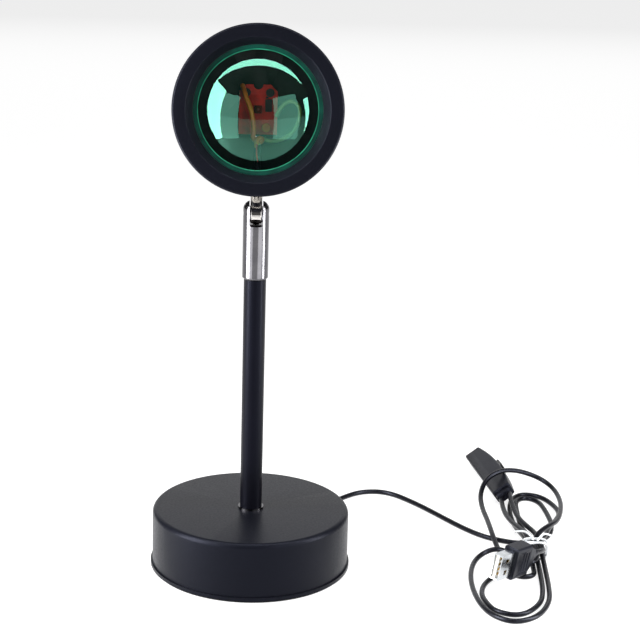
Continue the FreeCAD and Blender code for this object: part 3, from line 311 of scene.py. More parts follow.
def as_mesh(piece: bpy.types.Object, place: Matrix = Matrix()) -> bpy.types.Mesh:
    """Turns a curve or a piece with modifiers into a plain mesh and removes the object.

    Args:
        piece: the object.
        place: the frame that its shape is given in.

    Returns:
        The mesh, with its place in it.
    """
    bpy.context.view_layer.update()
    evaluated = piece.evaluated_get(bpy.context.evaluated_depsgraph_get())
    mesh = bpy.data.meshes.new_from_object(evaluated)
    mesh.transform(place)
    mesh.name = piece.name
    bpy.data.objects.remove(piece)
    return mesh


# ---------------------------------------------------------------- finishes
class Grain(Enum):
    """How a surface's fine texture is laid."""

    FINE = "even fine grain"
    TURNED = "fine lines round the Z axis"


@dataclass(frozen=True)
class Finish:
    """A surface with a fine grain, a slow drift of colour and its own gloss."""

    name: str
    colour: str
    drift_to: str
    roughness: float
    metallic: float = 0.0
    ior: float = 1.5
    specular: float = 0.5
    sheen_tint: str = "#ffffff"
    grain: Grain = Grain.FINE
    grain_mm: float = 0.5
    bump_mm: float = 0.01
    drift_mm: float = 25.0
    roughness_swing: float = 0.06
    see_through: float = 0.0

    def stretch(self) -> Point:
        """How the grain is stretched along X, Y and Z."""
        return {Grain.FINE: (1.0, 1.0, 1.0), Grain.TURNED: (0.06, 0.06, 1.0)}[self.grain]

    def material(self) -> bpy.types.Material:
        """The material of this finish, made once.

        Returns:
            The material.
        """
        known = bpy.data.materials.get(self.name)
        if known:
            return known
        made = bpy.data.materials.new(self.name)
        made.use_nodes = True
        tree = made.node_tree
        tree.nodes.clear()
        place = add_node(tree, "ShaderNodeTexCoord").outputs["Object"]
        slow = add_node(tree, "ShaderNodeTexNoise", {"Scale": 1000.0 / self.drift_mm, "Detail": 3.0},
                        {"Vector": place}).outputs["Fac"]
        stretched = add_node(tree, "ShaderNodeMapping", {"Scale": self.stretch()}, {"Vector": place}).outputs[0]
        fine = add_node(tree, "ShaderNodeTexNoise", {"Scale": 1000.0 / self.grain_mm, "Detail": 4.0},
                        {"Vector": stretched}).outputs["Fac"]
        blend = add_node(tree, "ShaderNodeMapRange", {"From Min": DRIFT_BAND[0], "From Max": DRIFT_BAND[1]},
                         {"Value": slow}).outputs[0]
        colour = add_node(tree, "ShaderNodeMix", {6: linear(self.colour), 7: linear(self.drift_to)},
                          {0: blend}, data_type="RGBA").outputs[2]
        glossiest = max(LEAST_ROUGHNESS, self.roughness - self.roughness_swing)
        gloss = add_node(tree, "ShaderNodeMapRange",
                         {"From Min": GLOSS_BAND[0], "From Max": GLOSS_BAND[1], "To Min": glossiest,
                          "To Max": self.roughness + self.roughness_swing}, {"Value": fine}).outputs[0]
        relief = add_node(tree, "ShaderNodeBump", {"Strength": BUMP_STRENGTH, "Distance": self.bump_mm * MM},
                          {"Height": fine}).outputs[0]
        shader = add_node(tree, "ShaderNodeBsdfPrincipled",
                          {"Metallic": self.metallic, "IOR": self.ior, "Specular IOR Level": self.specular,
                           "Specular Tint": linear(self.sheen_tint), "Transmission Weight": self.see_through},
                          {"Base Color": colour, "Roughness": gloss, "Normal": relief})
        add_node(tree, "ShaderNodeOutputMaterial", links={"Surface": shader.outputs[0]})
        return made


@dataclass(frozen=True)
class CoatedGlass:
    """Glass under a dichroic film: it mirrors mint green and lets the warm rest through."""

    name: str
    film: str
    roughness: float
    alpha: float
    film_drift_to: str = "#9ff5d8"
    film_drift_mm: float = 12.0
    rim_alpha: float = 3.2

    def material(self) -> bpy.types.Material:
        """The glass's material.

        Returns:
            The material, see-through by its alpha, its mirror tinted by the film.
        """
        made = bpy.data.materials.new(self.name)
        made.use_nodes = True
        tree = made.node_tree
        tree.nodes.clear()
        place = add_node(tree, "ShaderNodeTexCoord").outputs["Object"]
        # the film's thickness wanders slowly over the glass, which shifts its green
        slow = add_node(tree, "ShaderNodeTexNoise", {"Scale": 1000.0 / self.film_drift_mm, "Detail": 1.0},
                        {"Vector": place}).outputs["Fac"]
        colour = add_node(tree, "ShaderNodeMix", {6: linear(self.film), 7: linear(self.film_drift_to)},
                          {0: slow}, data_type="RGBA").outputs[2]
        rim = add_node(tree, "ShaderNodeLayerWeight", {"Blend": 0.25}).outputs["Facing"]
        opaque = min(1.0, self.alpha * self.rim_alpha)
        body = add_node(tree, "ShaderNodeMapRange", {"To Min": self.alpha, "To Max": opaque}, {"Value": rim}).outputs[0]
        shader = add_node(tree, "ShaderNodeBsdfPrincipled", {"Metallic": 1.0, "Roughness": self.roughness},
                          {"Base Color": colour, "Alpha": body})
        add_node(tree, "ShaderNodeOutputMaterial", links={"Surface": shader.outputs[0]})
        return made


# Aluminium and steel under satin black powder paint: soft even sheen, barely visible orange peel.
SATIN_BLACK = Finish("satin_black_powder_paint", "#0b0c11", "#0d0e14", 0.36, specular=0.22, sheen_tint="#9498b0",
                     grain_mm=0.9, bump_mm=0.012, drift_mm=40.0)
# The stem's paint is thinner and a little deeper black.
STEM_BLACK = Finish("satin_black_tube_paint", "#08080c", "#0a0a10", 0.34, specular=0.16, sheen_tint="#8d93b4",
                    grain_mm=0.7, bump_mm=0.01, drift_mm=30.0)
# Smoked nickel plate over turned brass: a dark mirror that shows the lamps as bright bars, with faint lathe lines.
NICKEL = Finish("smoked_nickel_plate", "#6a696c", "#5d5c60", 0.13, metallic=1.0, grain=Grain.TURNED,
                grain_mm=0.35, bump_mm=0.001, drift_mm=8.0, roughness_swing=0.04)
# Bright nickel of the neck's post, with the same faint lathe lines.
BRIGHT_NICKEL = Finish("bright_nickel_plate", "#cfccc8", "#bdbab6", 0.1, metallic=1.0, grain=Grain.TURNED,
                       grain_mm=0.35, bump_mm=0.001, drift_mm=6.0, roughness_swing=0.03)
# Zinc-plated steel: screws, nuts and washers.
STEEL = Finish("zinc_plated_steel", "#b9bcc0", "#a5a8ac", 0.24, metallic=1.0, grain_mm=0.3, bump_mm=0.003,
               drift_mm=4.0)
# The plug's pressed tin-plated shell.
TINPLATE = Finish("bright_tin_plate", "#d3d6d9", "#c2c6ca", 0.2, metallic=1.0, grain_mm=0.4, bump_mm=0.003,
                  drift_mm=5.0)
# Die-cast aluminium, its colour painted near black all over: painted shade of the dark inside of the head behind the
# lens.
HEAT_SINK_SHADE = Finish("black_anodised_aluminium", "#101514", "#182321", 0.5, metallic=0.6, grain_mm=0.5, bump_mm=0.01,
                  drift_mm=14.0)
# Grey cast iron with its sand skin.
CAST_IRON = Finish("grey_cast_iron", "#4a4a48", "#3a3632", 0.62, metallic=0.7, grain_mm=1.2, bump_mm=0.08,
                   drift_mm=10.0)
# EVA foam rubber of the foot pad.
RUBBER = Finish("black_eva_rubber", "#141414", "#1c1b1b", 0.8, ior=1.45, specular=0.3, grain_mm=0.6, bump_mm=0.04,
                drift_mm=15.0)
# Moulded ABS with a spark-eroded texture: switch and plug grip.
ABS = Finish("moulded_black_abs", "#0d0e13", "#13141a", 0.4, ior=1.53, specular=0.3, sheen_tint="#a0a5bc",
             grain_mm=0.45, bump_mm=0.02, drift_mm=12.0)
# The switch's button is smoother and darker than its shells.
BUTTON_ABS = Finish("smooth_black_abs", "#08080a", "#0d0d10", 0.25, ior=1.53, grain_mm=0.6, bump_mm=0.004)
# Soft PVC of the cord: semi-gloss, slightly waxy.
PVC = Finish("black_pvc_jacket", "#08080b", "#0e0e12", 0.3, ior=1.52, specular=0.38, sheen_tint="#b0b4c8",
             grain_mm=0.5, bump_mm=0.012, drift_mm=18.0)
# Clear polyethylene tape of the twist tie, milky where it is folded.
TIE_PLASTIC = Finish("clear_polyethylene_tape", "#f2f4f6", "#dfe3e8", 0.22, ior=1.51, grain_mm=0.8, bump_mm=0.05,
                     drift_mm=3.0, see_through=0.35)
# White PBT insert of the plug.
PBT = Finish("white_pbt", "#e9e8e2", "#dddbd2", 0.4, ior=1.55, grain_mm=0.4, bump_mm=0.005)
# Gold flash on the plug's bronze contacts.
GILT = Finish("gold_flash_on_bronze", "#d8b25a", "#c79c45", 0.2, metallic=1.0, grain_mm=0.3, bump_mm=0.002)
# Red solder mask over fibre glass: glossy, the copper below it darkens it here and there.
RED_MASK = Finish("red_solder_mask", "#e0200f", "#b5140b", 0.34, ior=1.55, grain_mm=0.8, bump_mm=0.02, drift_mm=6.0)
# Silicone with phosphor on the light's chip.
PHOSPHOR = Finish("phosphor_silicone", "#7c2a10", "#4a1509", 0.35, ior=1.43, grain_mm=0.3, bump_mm=0.01)
# Black epoxy of the board's packages, and the black of its screws.
BLACK_EPOXY = Finish("black_epoxy_package", "#0a0a0c", "#121215", 0.35, grain_mm=0.3, bump_mm=0.01)
# Soft PVC of the lamp's two wires, in the dulled colours that they have behind the film.
WIRE_YELLOW = Finish("yellow_pvc_wire", "#c08a1c", "#b9641a", 0.35, ior=1.52, grain_mm=0.5, bump_mm=0.01,
                     drift_mm=7.0)
WIRE_GREEN = Finish("green_pvc_wire", "#7fae5a", "#5c9a58", 0.35, ior=1.52, grain_mm=0.5, bump_mm=0.01, drift_mm=7.0)
# The lens's ground edge, painted dark green as painted shade under the bezel's lip.
GLASS_EDGE_SHADE = Finish("ground_glass_edge", "#0b3029", "#0d463a", 0.18, ior=1.52, grain_mm=0.8, bump_mm=0.01,
                    drift_mm=9.0)
# The polished arris round the dome, a thin ring painted bright green as a painted highlight.
GLASS_ARRIS_HIGHLIGHT = Finish("polished_glass_arris", "#2f9d78", "#1f7a5c", 0.12, ior=1.52, grain_mm=0.8, bump_mm=0.004,
                     drift_mm=6.0)
# The coated dome and the lens's plain back.
LENS_GLASS = CoatedGlass("dichroic_coated_glass", "#8af3d3", 0.012, 0.07)
LENS_BACK = CoatedGlass("polished_glass_back", "#86b8b0", 0.02, 0.03)


# ---------------------------------------------------------------- repeated small pieces
@dataclass(frozen=True)
class ScrewSet:
    """Equal pan-head screws, set out by Geometry Nodes at given places."""

    name: str
    head_mm: float
    head_height_mm: float
    length_mm: float
    shank_mm: float

    def one(self) -> bpy.types.Mesh:
        """One screw standing along +Z, its seat at zero and its head below.

        Returns:
            The mesh of the screw with its domed head and cross recess.
        """
        head, tall, shank = self.head_mm / 2, self.head_height_mm, self.shank_mm / 2
        profile = [(0.0, -tall * 0.45), (head * 0.16, -tall * 0.45), (head * 0.34, -tall), (head * 0.62, -tall * 0.98),
                   (head * 0.88, -tall * 0.78), (head, -tall * 0.42), (head, 0.0), (shank, 0.0),
                   (shank, self.length_mm - 0.5), (shank * 0.6, self.length_mm), (0.0, self.length_mm)]
        mesh = turned_mesh(self.name + "_one", profile, sides=24)
        shape = bmesh.new()
        shape.from_mesh(mesh)
        for vert in shape.verts:
            reach = math.hypot(vert.co.x, vert.co.y) / MM
            if vert.co.z < -tall * 0.9 * MM and reach < head * 0.5:
                turn = math.atan2(vert.co.y, vert.co.x)
                if abs(math.cos(2 * turn)) > 0.8:
                    vert.co.z = -tall * 0.55 * MM
        shape.to_mesh(mesh)
        shape.free()
        return finish_mesh(mesh)

    def tree(self, screw: bpy.types.Object, finish: bpy.types.Material) -> bpy.types.NodeTree:
        """The node tree that puts a screw at each point of a mesh.

        Args:
            screw: the object of one screw.
            finish: the screws' material.

        Returns:
            The tree, with the screw's scale as its input.
        """
        tree = bpy.data.node_groups.new(self.name + "_set", "GeometryNodeTree")
        tree.interface.new_socket("Places", in_out="INPUT", socket_type="NodeSocketGeometry")
        tree.interface.new_socket("Scale", in_out="INPUT", socket_type="NodeSocketFloat")
        tree.interface.new_socket("Geometry", in_out="OUTPUT", socket_type="NodeSocketGeometry")
        given = add_node(tree, "NodeGroupInput")
        source = add_node(tree, "GeometryNodeObjectInfo", {"Object": screw}).outputs["Geometry"]
        placed = add_node(tree, "GeometryNodeInstanceOnPoints",
                          links={"Points": given.outputs[0], "Instance": source, "Scale": given.outputs[1]})
        real = add_node(tree, "GeometryNodeRealizeInstances", links={"Geometry": placed.outputs[0]})
        dressed = add_node(tree, "GeometryNodeSetMaterial", {"Material": finish}, {"Geometry": real.outputs[0]})
        add_node(tree, "NodeGroupOutput", links={0: dressed.outputs[0]})
        return tree

    def place(self, spots: Sequence[Point], where: Matrix, body: str, finish: bpy.types.Material,
              stands_for: str) -> bpy.types.Object:
        """Sets the screws out and makes them one piece.

        Args:
            spots: the screws' seats in mm, in the frame of where.
            where: the frame that the spots are given in.
            body: the CAD body that they ride on.
            finish: their material.
            stands_for: the CAD node that they replace.

        Returns:
            The piece.
        """
        one = bpy.data.objects.new(self.name + "_one", self.one())
        bpy.context.scene.collection.objects.link(one)
        seats = bpy.data.meshes.new(self.name + "_seats")
        seats.from_pydata([Vector(spot) * MM for spot in spots], [], [])
        holder = bpy.data.objects.new(self.name, seats)
        bpy.context.scene.collection.objects.link(holder)
        tree = self.tree(one, finish)
        setter = holder.modifiers.new("screws", "NODES")
        setter.node_group = tree
        scale = next(item for item in tree.interface.items_tree if item.name == "Scale")
        setter[scale.identifier] = 1.0
        mesh = as_mesh(holder, where)
        bpy.data.objects.remove(one)
        return add_piece(self.name, finish_mesh(mesh), body, (), [stands_for])


# ---------------------------------------------------------------- sub-assemblies
@dataclass
class WeightedBase:
    """The round base: painted shell, flat plate, rubber pad, screws and the weight inside."""

    boss_circle: float = 35.0
    screw_seat: float = 2.3

    def build(self) -> None:
        """Builds the base's pieces and dresses those that the CAD model shows well."""
        paint = SATIN_BLACK.material()
        for node in ("base_shell", "base_plate"):
            add_piece(node + "_painted", cad_copy(node), "stand", [paint], [node])
        add_piece("foot_pad_rubber", cad_copy("foot_pad"), "stand", [RUBBER.material()], ["foot_pad"])
        dress("base_weight", CAST_IRON.material())
        spots = on_circle(self.boss_circle, self.screw_seat, (-90.0, 30.0, 150.0))
        screws = ScrewSet("base_screw", head_mm=5.6, head_height_mm=1.2, length_mm=7.7, shank_mm=3.0)
        screws.place(spots, Matrix(), "stand", STEEL.material(), "base_screws")


@dataclass
class Stem:
    """The thin tube with its foot ring, washer and nut."""

    def build(self) -> None:
        """Dresses the stem's pieces."""
        add_piece("stem_tube_painted", cad_copy("stem_tube"), "stand", [STEM_BLACK.material()], ["stem_tube"])
        add_piece("stem_foot_ring_plated", cad_copy("stem_foot_ring"), "stand", [NICKEL.material()],
                  ["stem_foot_ring"])
        for node in ("stem_washer", "stem_nut"):
            dress(node, STEEL.material())


@dataclass
class Swivel:
    """The plated swivel and knuckle that turn and tilt the head."""

    def build(self) -> None:
        """Dresses the swivel's pieces."""
        plate = NICKEL.material()
        for node, body in (("swivel_washer", "stand"), ("swivel_barrel", "swivel")):
            add_piece(node + "_plated", cad_copy(node), body, [plate], [node])
        for node in ("swivel_stud", "swivel_grub_screw", "friction_washers"):
            dress(node, STEEL.material())
        add_piece("pivot_pin_plated", cad_copy("pivot_pin"), "swivel", [plate], ["pivot_pin"])
        for node in ("neck_post", "neck_saddle_washer"):
            add_piece(node + "_plated", cad_copy(node), "head", [BRIGHT_NICKEL.material()], [node])
        dress("neck_nut", STEEL.material())


@dataclass
class LampHead:
    """The drum-shaped head: housing, bezel, coated lens, rear cover."""

    lens_radius: float = 29.5
    lens_back: float = 25.1
    lens_rim: float = 28.1
    dome_radius: float = 25.8
    curve: float = 35.0
    arris: float = 0.35
    dome_steps: int = 40
    cover_boss_circle: float = 29.8
    cover_screw_seat: float = -26.4

    def bezel_profile(self) -> list[tuple[float, float]]:
        """The bezel's closed profile: thread, outer wall, flat face, dished wall and lip."""
        outside = rounded([(34.72, 20.0), (37.0, 20.0), (37.0, 33.3), (36.3, 34.0), (31.2, 34.0), (28.0, 29.0),
                           (28.0, 28.1), (29.6, 28.1)], 0.25, 3)
        return outside + [(29.6, 24.1), (34.72, 24.1), (34.72, 20.0)]

    def lens_profile(self) -> list[tuple[float, float]]:
        """The lens's profile: flat back, rim, flange, arris and dome."""
        foot = math.asin(self.dome_radius / self.curve)
        centre = self.lens_rim - self.curve * math.cos(foot)
        slopes = [foot * (1 - i / self.dome_steps) for i in range(1, self.dome_steps + 1)]
        dome = [(self.curve * math.sin(slope), centre + self.curve * math.cos(slope)) for slope in slopes]
        return [(0.0, self.lens_back), (self.lens_radius, self.lens_back), (self.lens_radius, self.lens_rim),
                (self.dome_radius + self.arris, self.lens_rim), (self.dome_radius, self.lens_rim + 0.05)] + dome

    def build(self) -> None:
        """Builds the head's outer pieces."""
        paint = SATIN_BLACK.material()
        housing = true_round(cad_copy("lamp_housing"), HEAD)
        add_piece("lamp_housing_painted", housing, "head", [paint], ["lamp_housing"])
        bezel = turned_mesh("front_bezel_painted", self.bezel_profile(), HEAD, 160)
        add_piece("front_bezel_painted", bezel, "head", [paint], ["front_bezel"])
        add_piece("rear_cover_moulded", cad_copy("rear_cover"), "head", [ABS.material()], ["rear_cover"])
        dress("lens_gasket", RUBBER.material())
        dome, edge, arris, back = range(4)
        # The arris's bright green ring is a painted highlight.
        zones = [back, edge, edge, arris] + [dome] * self.dome_steps
        lens = turned_mesh("lens_glass", self.lens_profile(), HEAD, 160, zones)
        # The edge's dark green is painted shade under the bezel's lip.
        glass = [LENS_GLASS.material(), GLASS_EDGE_SHADE.material(), GLASS_ARRIS_HIGHLIGHT.material(), LENS_BACK.material()]
        add_piece("lens_glass", lens, "head", glass, ["lens"])
        spots = on_circle(self.cover_boss_circle, self.cover_screw_seat, (45.0, 135.0, 225.0, 315.0))
        screws = ScrewSet("rear_cover_screw", head_mm=3.8, head_height_mm=1.0, length_mm=8.0, shank_mm=2.0)
        screws.place(spots, HEAD, "head", STEEL.material(), "rear_cover_screws")


@dataclass
class LightEngine:
    """What shows through the lens: the red board, its parts and its coloured wires."""

    board_face: float = -6.4
    parts: list[tuple[str, float, float, float, float, float]] = field(default_factory=lambda: [
        ("driver_package", 4.6, 1.8, 3.0, 5.6, 1.1), ("series_resistor", 3.9, 5.3, 1.2, 0.8, 0.5)])

    def block(self, name: str, x: float, y: float, wide: float, tall: float, thick: float) -> bpy.types.Mesh:
        """A small bevelled package standing on the board.

        Args:
            name: the mesh's name.
            x: its middle across, in mm.
            y: its middle upwards, in mm.
            wide: its width in mm.
            tall: its height in mm.
            thick: how far it stands off the board, in mm.

        Returns:
            The mesh, in its place in the head.
        """
        shape = bmesh.new()
        bmesh.ops.create_cube(shape, size=1.0)
        bmesh.ops.scale(shape, vec=Vector((wide, tall, thick)) * MM, verts=shape.verts)
        bmesh.ops.bevel(shape, geom=list(shape.edges), offset=0.15 * MM, segments=2, affect="EDGES")
        shape.transform(HEAD @ Matrix.Translation(Vector((x, y, self.board_face + thick / 2)) * MM))
        mesh = bpy.data.meshes.new(name)
        shape.to_mesh(mesh)
        shape.free()
        return finish_mesh(mesh)

    def build(self) -> None:
        """Builds the light engine's pieces."""
        # The heat sink's near-black colour is painted shade inside the head, not its own finish.
        add_piece("heat_sink_anodised", cad_copy("heat_sink"), "head", [HEAT_SINK_SHADE.material()], ["heat_sink"])
        add_piece("led_board_masked", cad_copy("led_board"), "head", [RED_MASK.material()], ["led_board"])
        add_piece("led_chip_cast", cad_copy("led_chip"), "head", [PHOSPHOR.material()], ["led_chip"])
        dress("heat_sink_screws", STEEL.material())
        dress("led_board_screws", BLACK_EPOXY.material())
        for name, x, y, wide, tall, thick in self.parts:
            add_piece(name, self.block(name, x, y, wide, tall, thick), "head", [BLACK_EPOXY.material()])
        section = [(0.0, 0.0), (2.0, 0.0), (2.0, 1.6), (1.7, 1.9), (0.7, 1.9), (0.7, 1.5), (0.0, 1.5)]
        coil = turned_mesh("choke", section, HEAD @ Matrix.Translation(Vector((3.7, -8.0, self.board_face)) * MM), 32)
        add_piece("choke", coil, "head", [WIRE_YELLOW.material()])
        self.build_wires()

    def build_wires(self) -> None:
        """Builds the two wires that run from the board to the knot over the neck."""
        yellow = [(-7.2, 10.6, -5.4), (-6.4, 8.6, -3.4), (-5.6, 5.6, -2.4), (-3.6, 1.2, -1.8), (-2.2, -4.0, -1.6),
                  (-1.8, -9.2, -1.6), (-2.2, -12.6, -1.2), (0.2, -14.8, -0.6), (2.4, -13.6, -0.2), (1.2, -12.2, 0.6),
                  (-0.6, -14.0, 0.6), (-0.4, -16.6, 0.0)]
        green = [(8.2, -3.0, -5.4), (9.6, 1.0, -4.4), (14.0, 4.6, -3.6), (18.2, 2.4, -3.0), (18.8, -3.0, -2.8),
                 (16.2, -9.4, -2.6), (12.0, -12.6, -2.4), (5.4, -14.2, -1.6), (1.6, -12.6, -0.6), (-0.6, -13.2, 0.2),
                 (0.4, -16.8, 0.2)]
        sleeve = [(0.0, -15.6, 0.0), (0.1, -18.0, 0.0), (0.0, -22.0, 0.0), (0.0, -27.4, 0.0)]
        red = [(-0.3, -15.2, 1.3), (-0.5, -17.6, 1.9), (-0.2, -21.0, 1.8), (0.2, -23.0, 1.3)]
        for name, points, finish, thick, stands in (
                ("lamp_wire_yellow", yellow, WIRE_YELLOW, 2.2, ["lamp_wires"]),
                ("lamp_wire_green", green, WIRE_GREEN, 1.8, []),
                ("lamp_wire_sleeve", sleeve, PVC, 2.6, []), ("lamp_wire_red", red, RED_MASK, 0.7, [])):
            wire = strand(name, points, thick, finish.material(), 4)
            add_piece(name, finish_mesh(as_mesh(wire, HEAD)), "head", (), stands)


@dataclass
class Cord:
    """The USB cord: from the gland through the tied hank to the switch, and on to the plug."""

    thickness: float = 2.4
    floor: float = 1.25
    gland_end: Point = (25.352, 47.679, 7.0)
    low_lead: Point = (123.89, 74.81, 4.12)
    high_lead: Point = (127.75, 75.53, 6.87)
    plug_end: Point = (132.195, -4.124, 9.196)

    def to_switch(self) -> list[Point]:
        """The control points from the gland to the switch."""
        low = self.floor
        feed = [self.gland_end, (31.0, 58.4, 4.0), (36.6, 68.4, low), (44.2, 78.6, low), (55.0, 88.4, low),
                (68.0, 88.6, low), (80.5, 75.0, low), (92.0, 58.4, low), (101.5, 44.2, low), (110.5, 33.6, low),
                (119.0, 28.2, low)]
        inner = [(128.2, 24.8, low), (138.0, 28.0, low), (144.2, 36.5, low), (146.3, 50.0, low), (145.4, 63.0, low),
                 (144.6, 69.5, low), (143.2, 77.6, low), (139.2, 82.8, low), (134.6, 82.6, low), (131.3, 77.6, low),
                 (130.9, 67.0, low),
                 (130.6, 50.0, low), (131.5, 40.0, 1.5), (133.7, 25.6, 4.15), (134.0, 15.5, 2.6), (134.0, 8.5, 2.6)]
        near = [(134.0, -12.0, low), (133.1, -29.6, low), (130.4, -44.5, low), (120.5, -57.2, low),
                (109.4, -53.0, low), (105.8, -42.5, low), (104.6, -33.0, low), (107.2, -21.6, low),
                (114.6, -12.2, 1.9), (120.6, -7.2, 4.1), (127.0, -6.4, 4.5), (132.2, -4.0, 4.6), (134.0, 3.0, 5.35),
                (134.0, 8.5, 5.5), (134.0, 15.5, 5.5)]
        outer = [(135.2, 20.6, 7.4), (138.6, 24.8, 8.7), (143.0, 30.5, 8.8), (147.2, 38.6, 7.4), (150.4, 51.5, 6.4),
                 (152.8, 68.0, 4.8), (152.2, 82.0, 5.0), (148.8, 91.4, 6.2), (142.6, 95.6, 8.4), (133.0, 93.2, 12.2),
                 (124.0, 89.2, 13.4), (116.8, 84.6, 10.4), (113.2, 75.0, 6.0), (113.2, 62.0, 4.2), (114.6, 45.0, 4.1),
                 (115.2, 31.5, 4.1), (116.6, 18.0, 2.0), (119.0, 6.0, low), (120.5, -3.0, low), (121.1, -10.8, low),
                 (124.1, -14.0, low), (128.4, -14.0, low), (131.4, -10.8, low), (131.3, -4.0, 1.6), (131.0, 2.6, 4.4),
                 (131.1, 8.5, 5.5), (131.1, 15.5, 5.5)]
        lead = [(130.6, 24.0, 7.1), (127.8, 34.0, 6.1), (125.2, 44.5, 4.9), (123.2, 60.0, 4.2), self.low_lead]
        return feed + inner + near + outer + lead

    def to_plug(self) -> list[Point]:
        """The control points from the switch to the plug."""
        low = self.floor
        near = [self.high_lead, (128.3, 62.0, 5.2), (129.6, 50.0, 4.3), (132.6, 40.0, 4.3), (135.4, 33.0, 4.2),
                (136.7, 26.0, 4.15), (136.9, 15.5, 2.6), (136.9, 8.5, 2.6), (136.8, -8.0, low), (136.4, -24.0, low),
                (135.0, -41.5, low), (128.0, -57.6, low), (117.0, -64.0, low), (108.2, -57.8, low),
                (103.4, -46.0, low), (101.2, -30.0, low), (101.3, -13.0, low), (104.2, 2.4, low), (109.0, 9.8, 2.4),
                (115.0, 11.9, 4.1), (119.8, 8.8, 4.2), (123.2, 4.4, 3.0), (128.2, 3.2, 1.5), (131.1, 6.0, 2.2)]
        far = [(131.1, 11.0, 2.6), (131.1, 15.5, 2.6), (130.7, 24.6, 4.2), (128.8, 38.0, 2.2), (127.4, 50.0, low),
               (127.0, 63.0, low), (128.2, 74.5, low), (130.8, 83.6, low), (136.6, 88.6, low), (145.4, 84.8, low),
               (150.4, 73.0, low), (151.5, 61.0, 2.0), (147.5, 47.0, 4.0), (143.0, 36.1, 4.8), (140.4, 25.4, 5.6),
               (137.8, 19.8, 6.1), (136.9, 15.5, 5.5), (136.9, 8.5, 5.5), (136.4, 2.4, 7.3), self.plug_end]
        return near + far

    def inside_lead(self) -> list[Point]:
        """The control points of the lead inside the base and the stem."""
        return [(25.0, 47.0, 7.0), (14.0, 26.3, 7.0), (2.4, 4.5, 7.0), (0.0, 0.0, 10.0), (0.0, 0.0, 60.0),
                (0.0, 0.0, 155.0)]

    def build(self) -> None:
        jacket = PVC.material()
        inside = strand("lead_inside", self.inside_lead(), self.thickness, jacket)
        add_piece("lead_inside", finish_mesh(as_mesh(inside)), "stand", (), ["inner_lead"])
        first = strand("cord_to_switch", self.to_switch(), self.thickness, jacket)
        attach(first, "stand")
        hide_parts("cord_feed", "cord_hank")
        second = strand("cord_to_plug", self.to_plug(), self.thickness, jacket)
        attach(second, "stand")
        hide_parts("cord_hank_plug_side")
        LOG.info("cord: %d and %d points", len(self.to_switch()), len(self.to_plug()))


@dataclass
class TwistTie:
    """The clear twist tie round the six strands of the hank."""

    middle: Point = (134.0, 12.0, 4.05)
    half_wide: float = 5.3
    half_tall: float = 3.9
    tape: float = 2.0
    tape_thickness: float = 0.3
    table_gap: float = 0.35
    steps: int = 48

    def loop(self, name: str, along: float, slant: float, swell: float) -> bpy.types.Mesh:
        """One turn of tape round the bundle.

        Args:
            name: the mesh's name.
            along: how far from the tie's middle it lies, in mm.
            slant: how far its top leads its bottom, in mm.
            swell: how far it stands off the bundle, in mm.

        Returns:
            The turn's mesh, a flat strip with thickness.
        """
        shape = bmesh.new()
        rows = []
        for i in range(self.steps):
            turn = math.tau * i / self.steps
            flat = abs(math.cos(turn)) ** 4 + abs(math.sin(turn)) ** 4
            reach = flat ** -0.25
            x = (self.half_wide + swell) * math.cos(turn) * reach
            z = (self.half_tall + swell) * math.sin(turn) * reach
            y = along + slant * math.sin(turn + 0.6)
            pinch = 0.62 + 0.38 * abs(math.sin(2.0 * turn + along))
            half = self.tape / 2 * pinch
            rows.append([shape.verts.new(Vector((self.middle[0] + x, self.middle[1] + y + side * half,
                                                 max(self.middle[2] + z, self.table_gap))) * MM)
                         for side in (-1, 0, 1)])
        for low, high in zip(rows, rows[1:] + rows[:1]):
            for k in (0, 1):
                shape.faces.new((low[k], low[k + 1], high[k + 1], high[k]))
        bmesh.ops.recalc_face_normals(shape, faces=shape.faces)
        bmesh.ops.solidify(shape, geom=shape.faces[:], thickness=self.tape_thickness * MM)
        bmesh.ops.recalc_face_normals(shape, faces=shape.faces)
        mesh = bpy.data.meshes.new(name)
        shape.to_mesh(mesh)
        shape.free()
        return finish_mesh(mesh, TIE_SHARP_DEG)

    def build(self) -> None:
        """Builds the tie's turns and its twisted ends."""
        tape = TIE_PLASTIC.material()
        turns = [("cord_tie_twisted", -2.6, 1.4, 0.0, ["cord_tie"]), ("cord_tie_turn_two", -0.3, -1.6, 0.35, []),
                 ("cord_tie_turn_three", 2.1, 1.2, 0.15, []), ("cord_tie_turn_four", 3.4, -0.8, 0.55, [])]
        for name, along, slant, swell, stands in turns:
            add_piece(name, self.loop(name, along, slant, swell), "stand", [tape], stands)
        ends = {"cord_tie_end_one": [(133.0, 12.0, 8.6), (131.5, 15.0, 10.4), (128.0, 17.5, 11.2), (124.5, 18.0, 10.0)],
                "cord_tie_end_two": [(134.6, 11.0, 8.6), (136.8, 13.8, 10.6), (139.6, 16.4, 10.2), (142.0, 17.2, 8.6)]}
        for name, points in ends.items():
            add_piece(name, finish_mesh(as_mesh(strand(name, points, 1.0, tape, 3))), "stand", (), ())


@dataclass
class CordFittings:
    """The gland, the inline switch and the USB plug."""

    def build(self) -> None:
        """Builds the cord's fittings."""
        plastic = ABS.material()
        for node in ("cable_gland", "switch_lower_shell", "switch_upper_shell", "switch_grommet", "plug_grip"):
            add_piece(node + "_moulded", cad_copy(node), "stand", [plastic], [node])
        add_piece("switch_button_moulded", cad_copy("switch_button"), "button", [BUTTON_ABS.material()],
                  ["switch_button"])
        add_piece("plug_shell_plated", cad_copy("plug_shell"), "stand", [TINPLATE.material()], ["plug_shell"])
        dress("plug_tongue", PBT.material())
        dress("plug_contacts", GILT.material())
        dress("switch_contact_block", PBT.material())


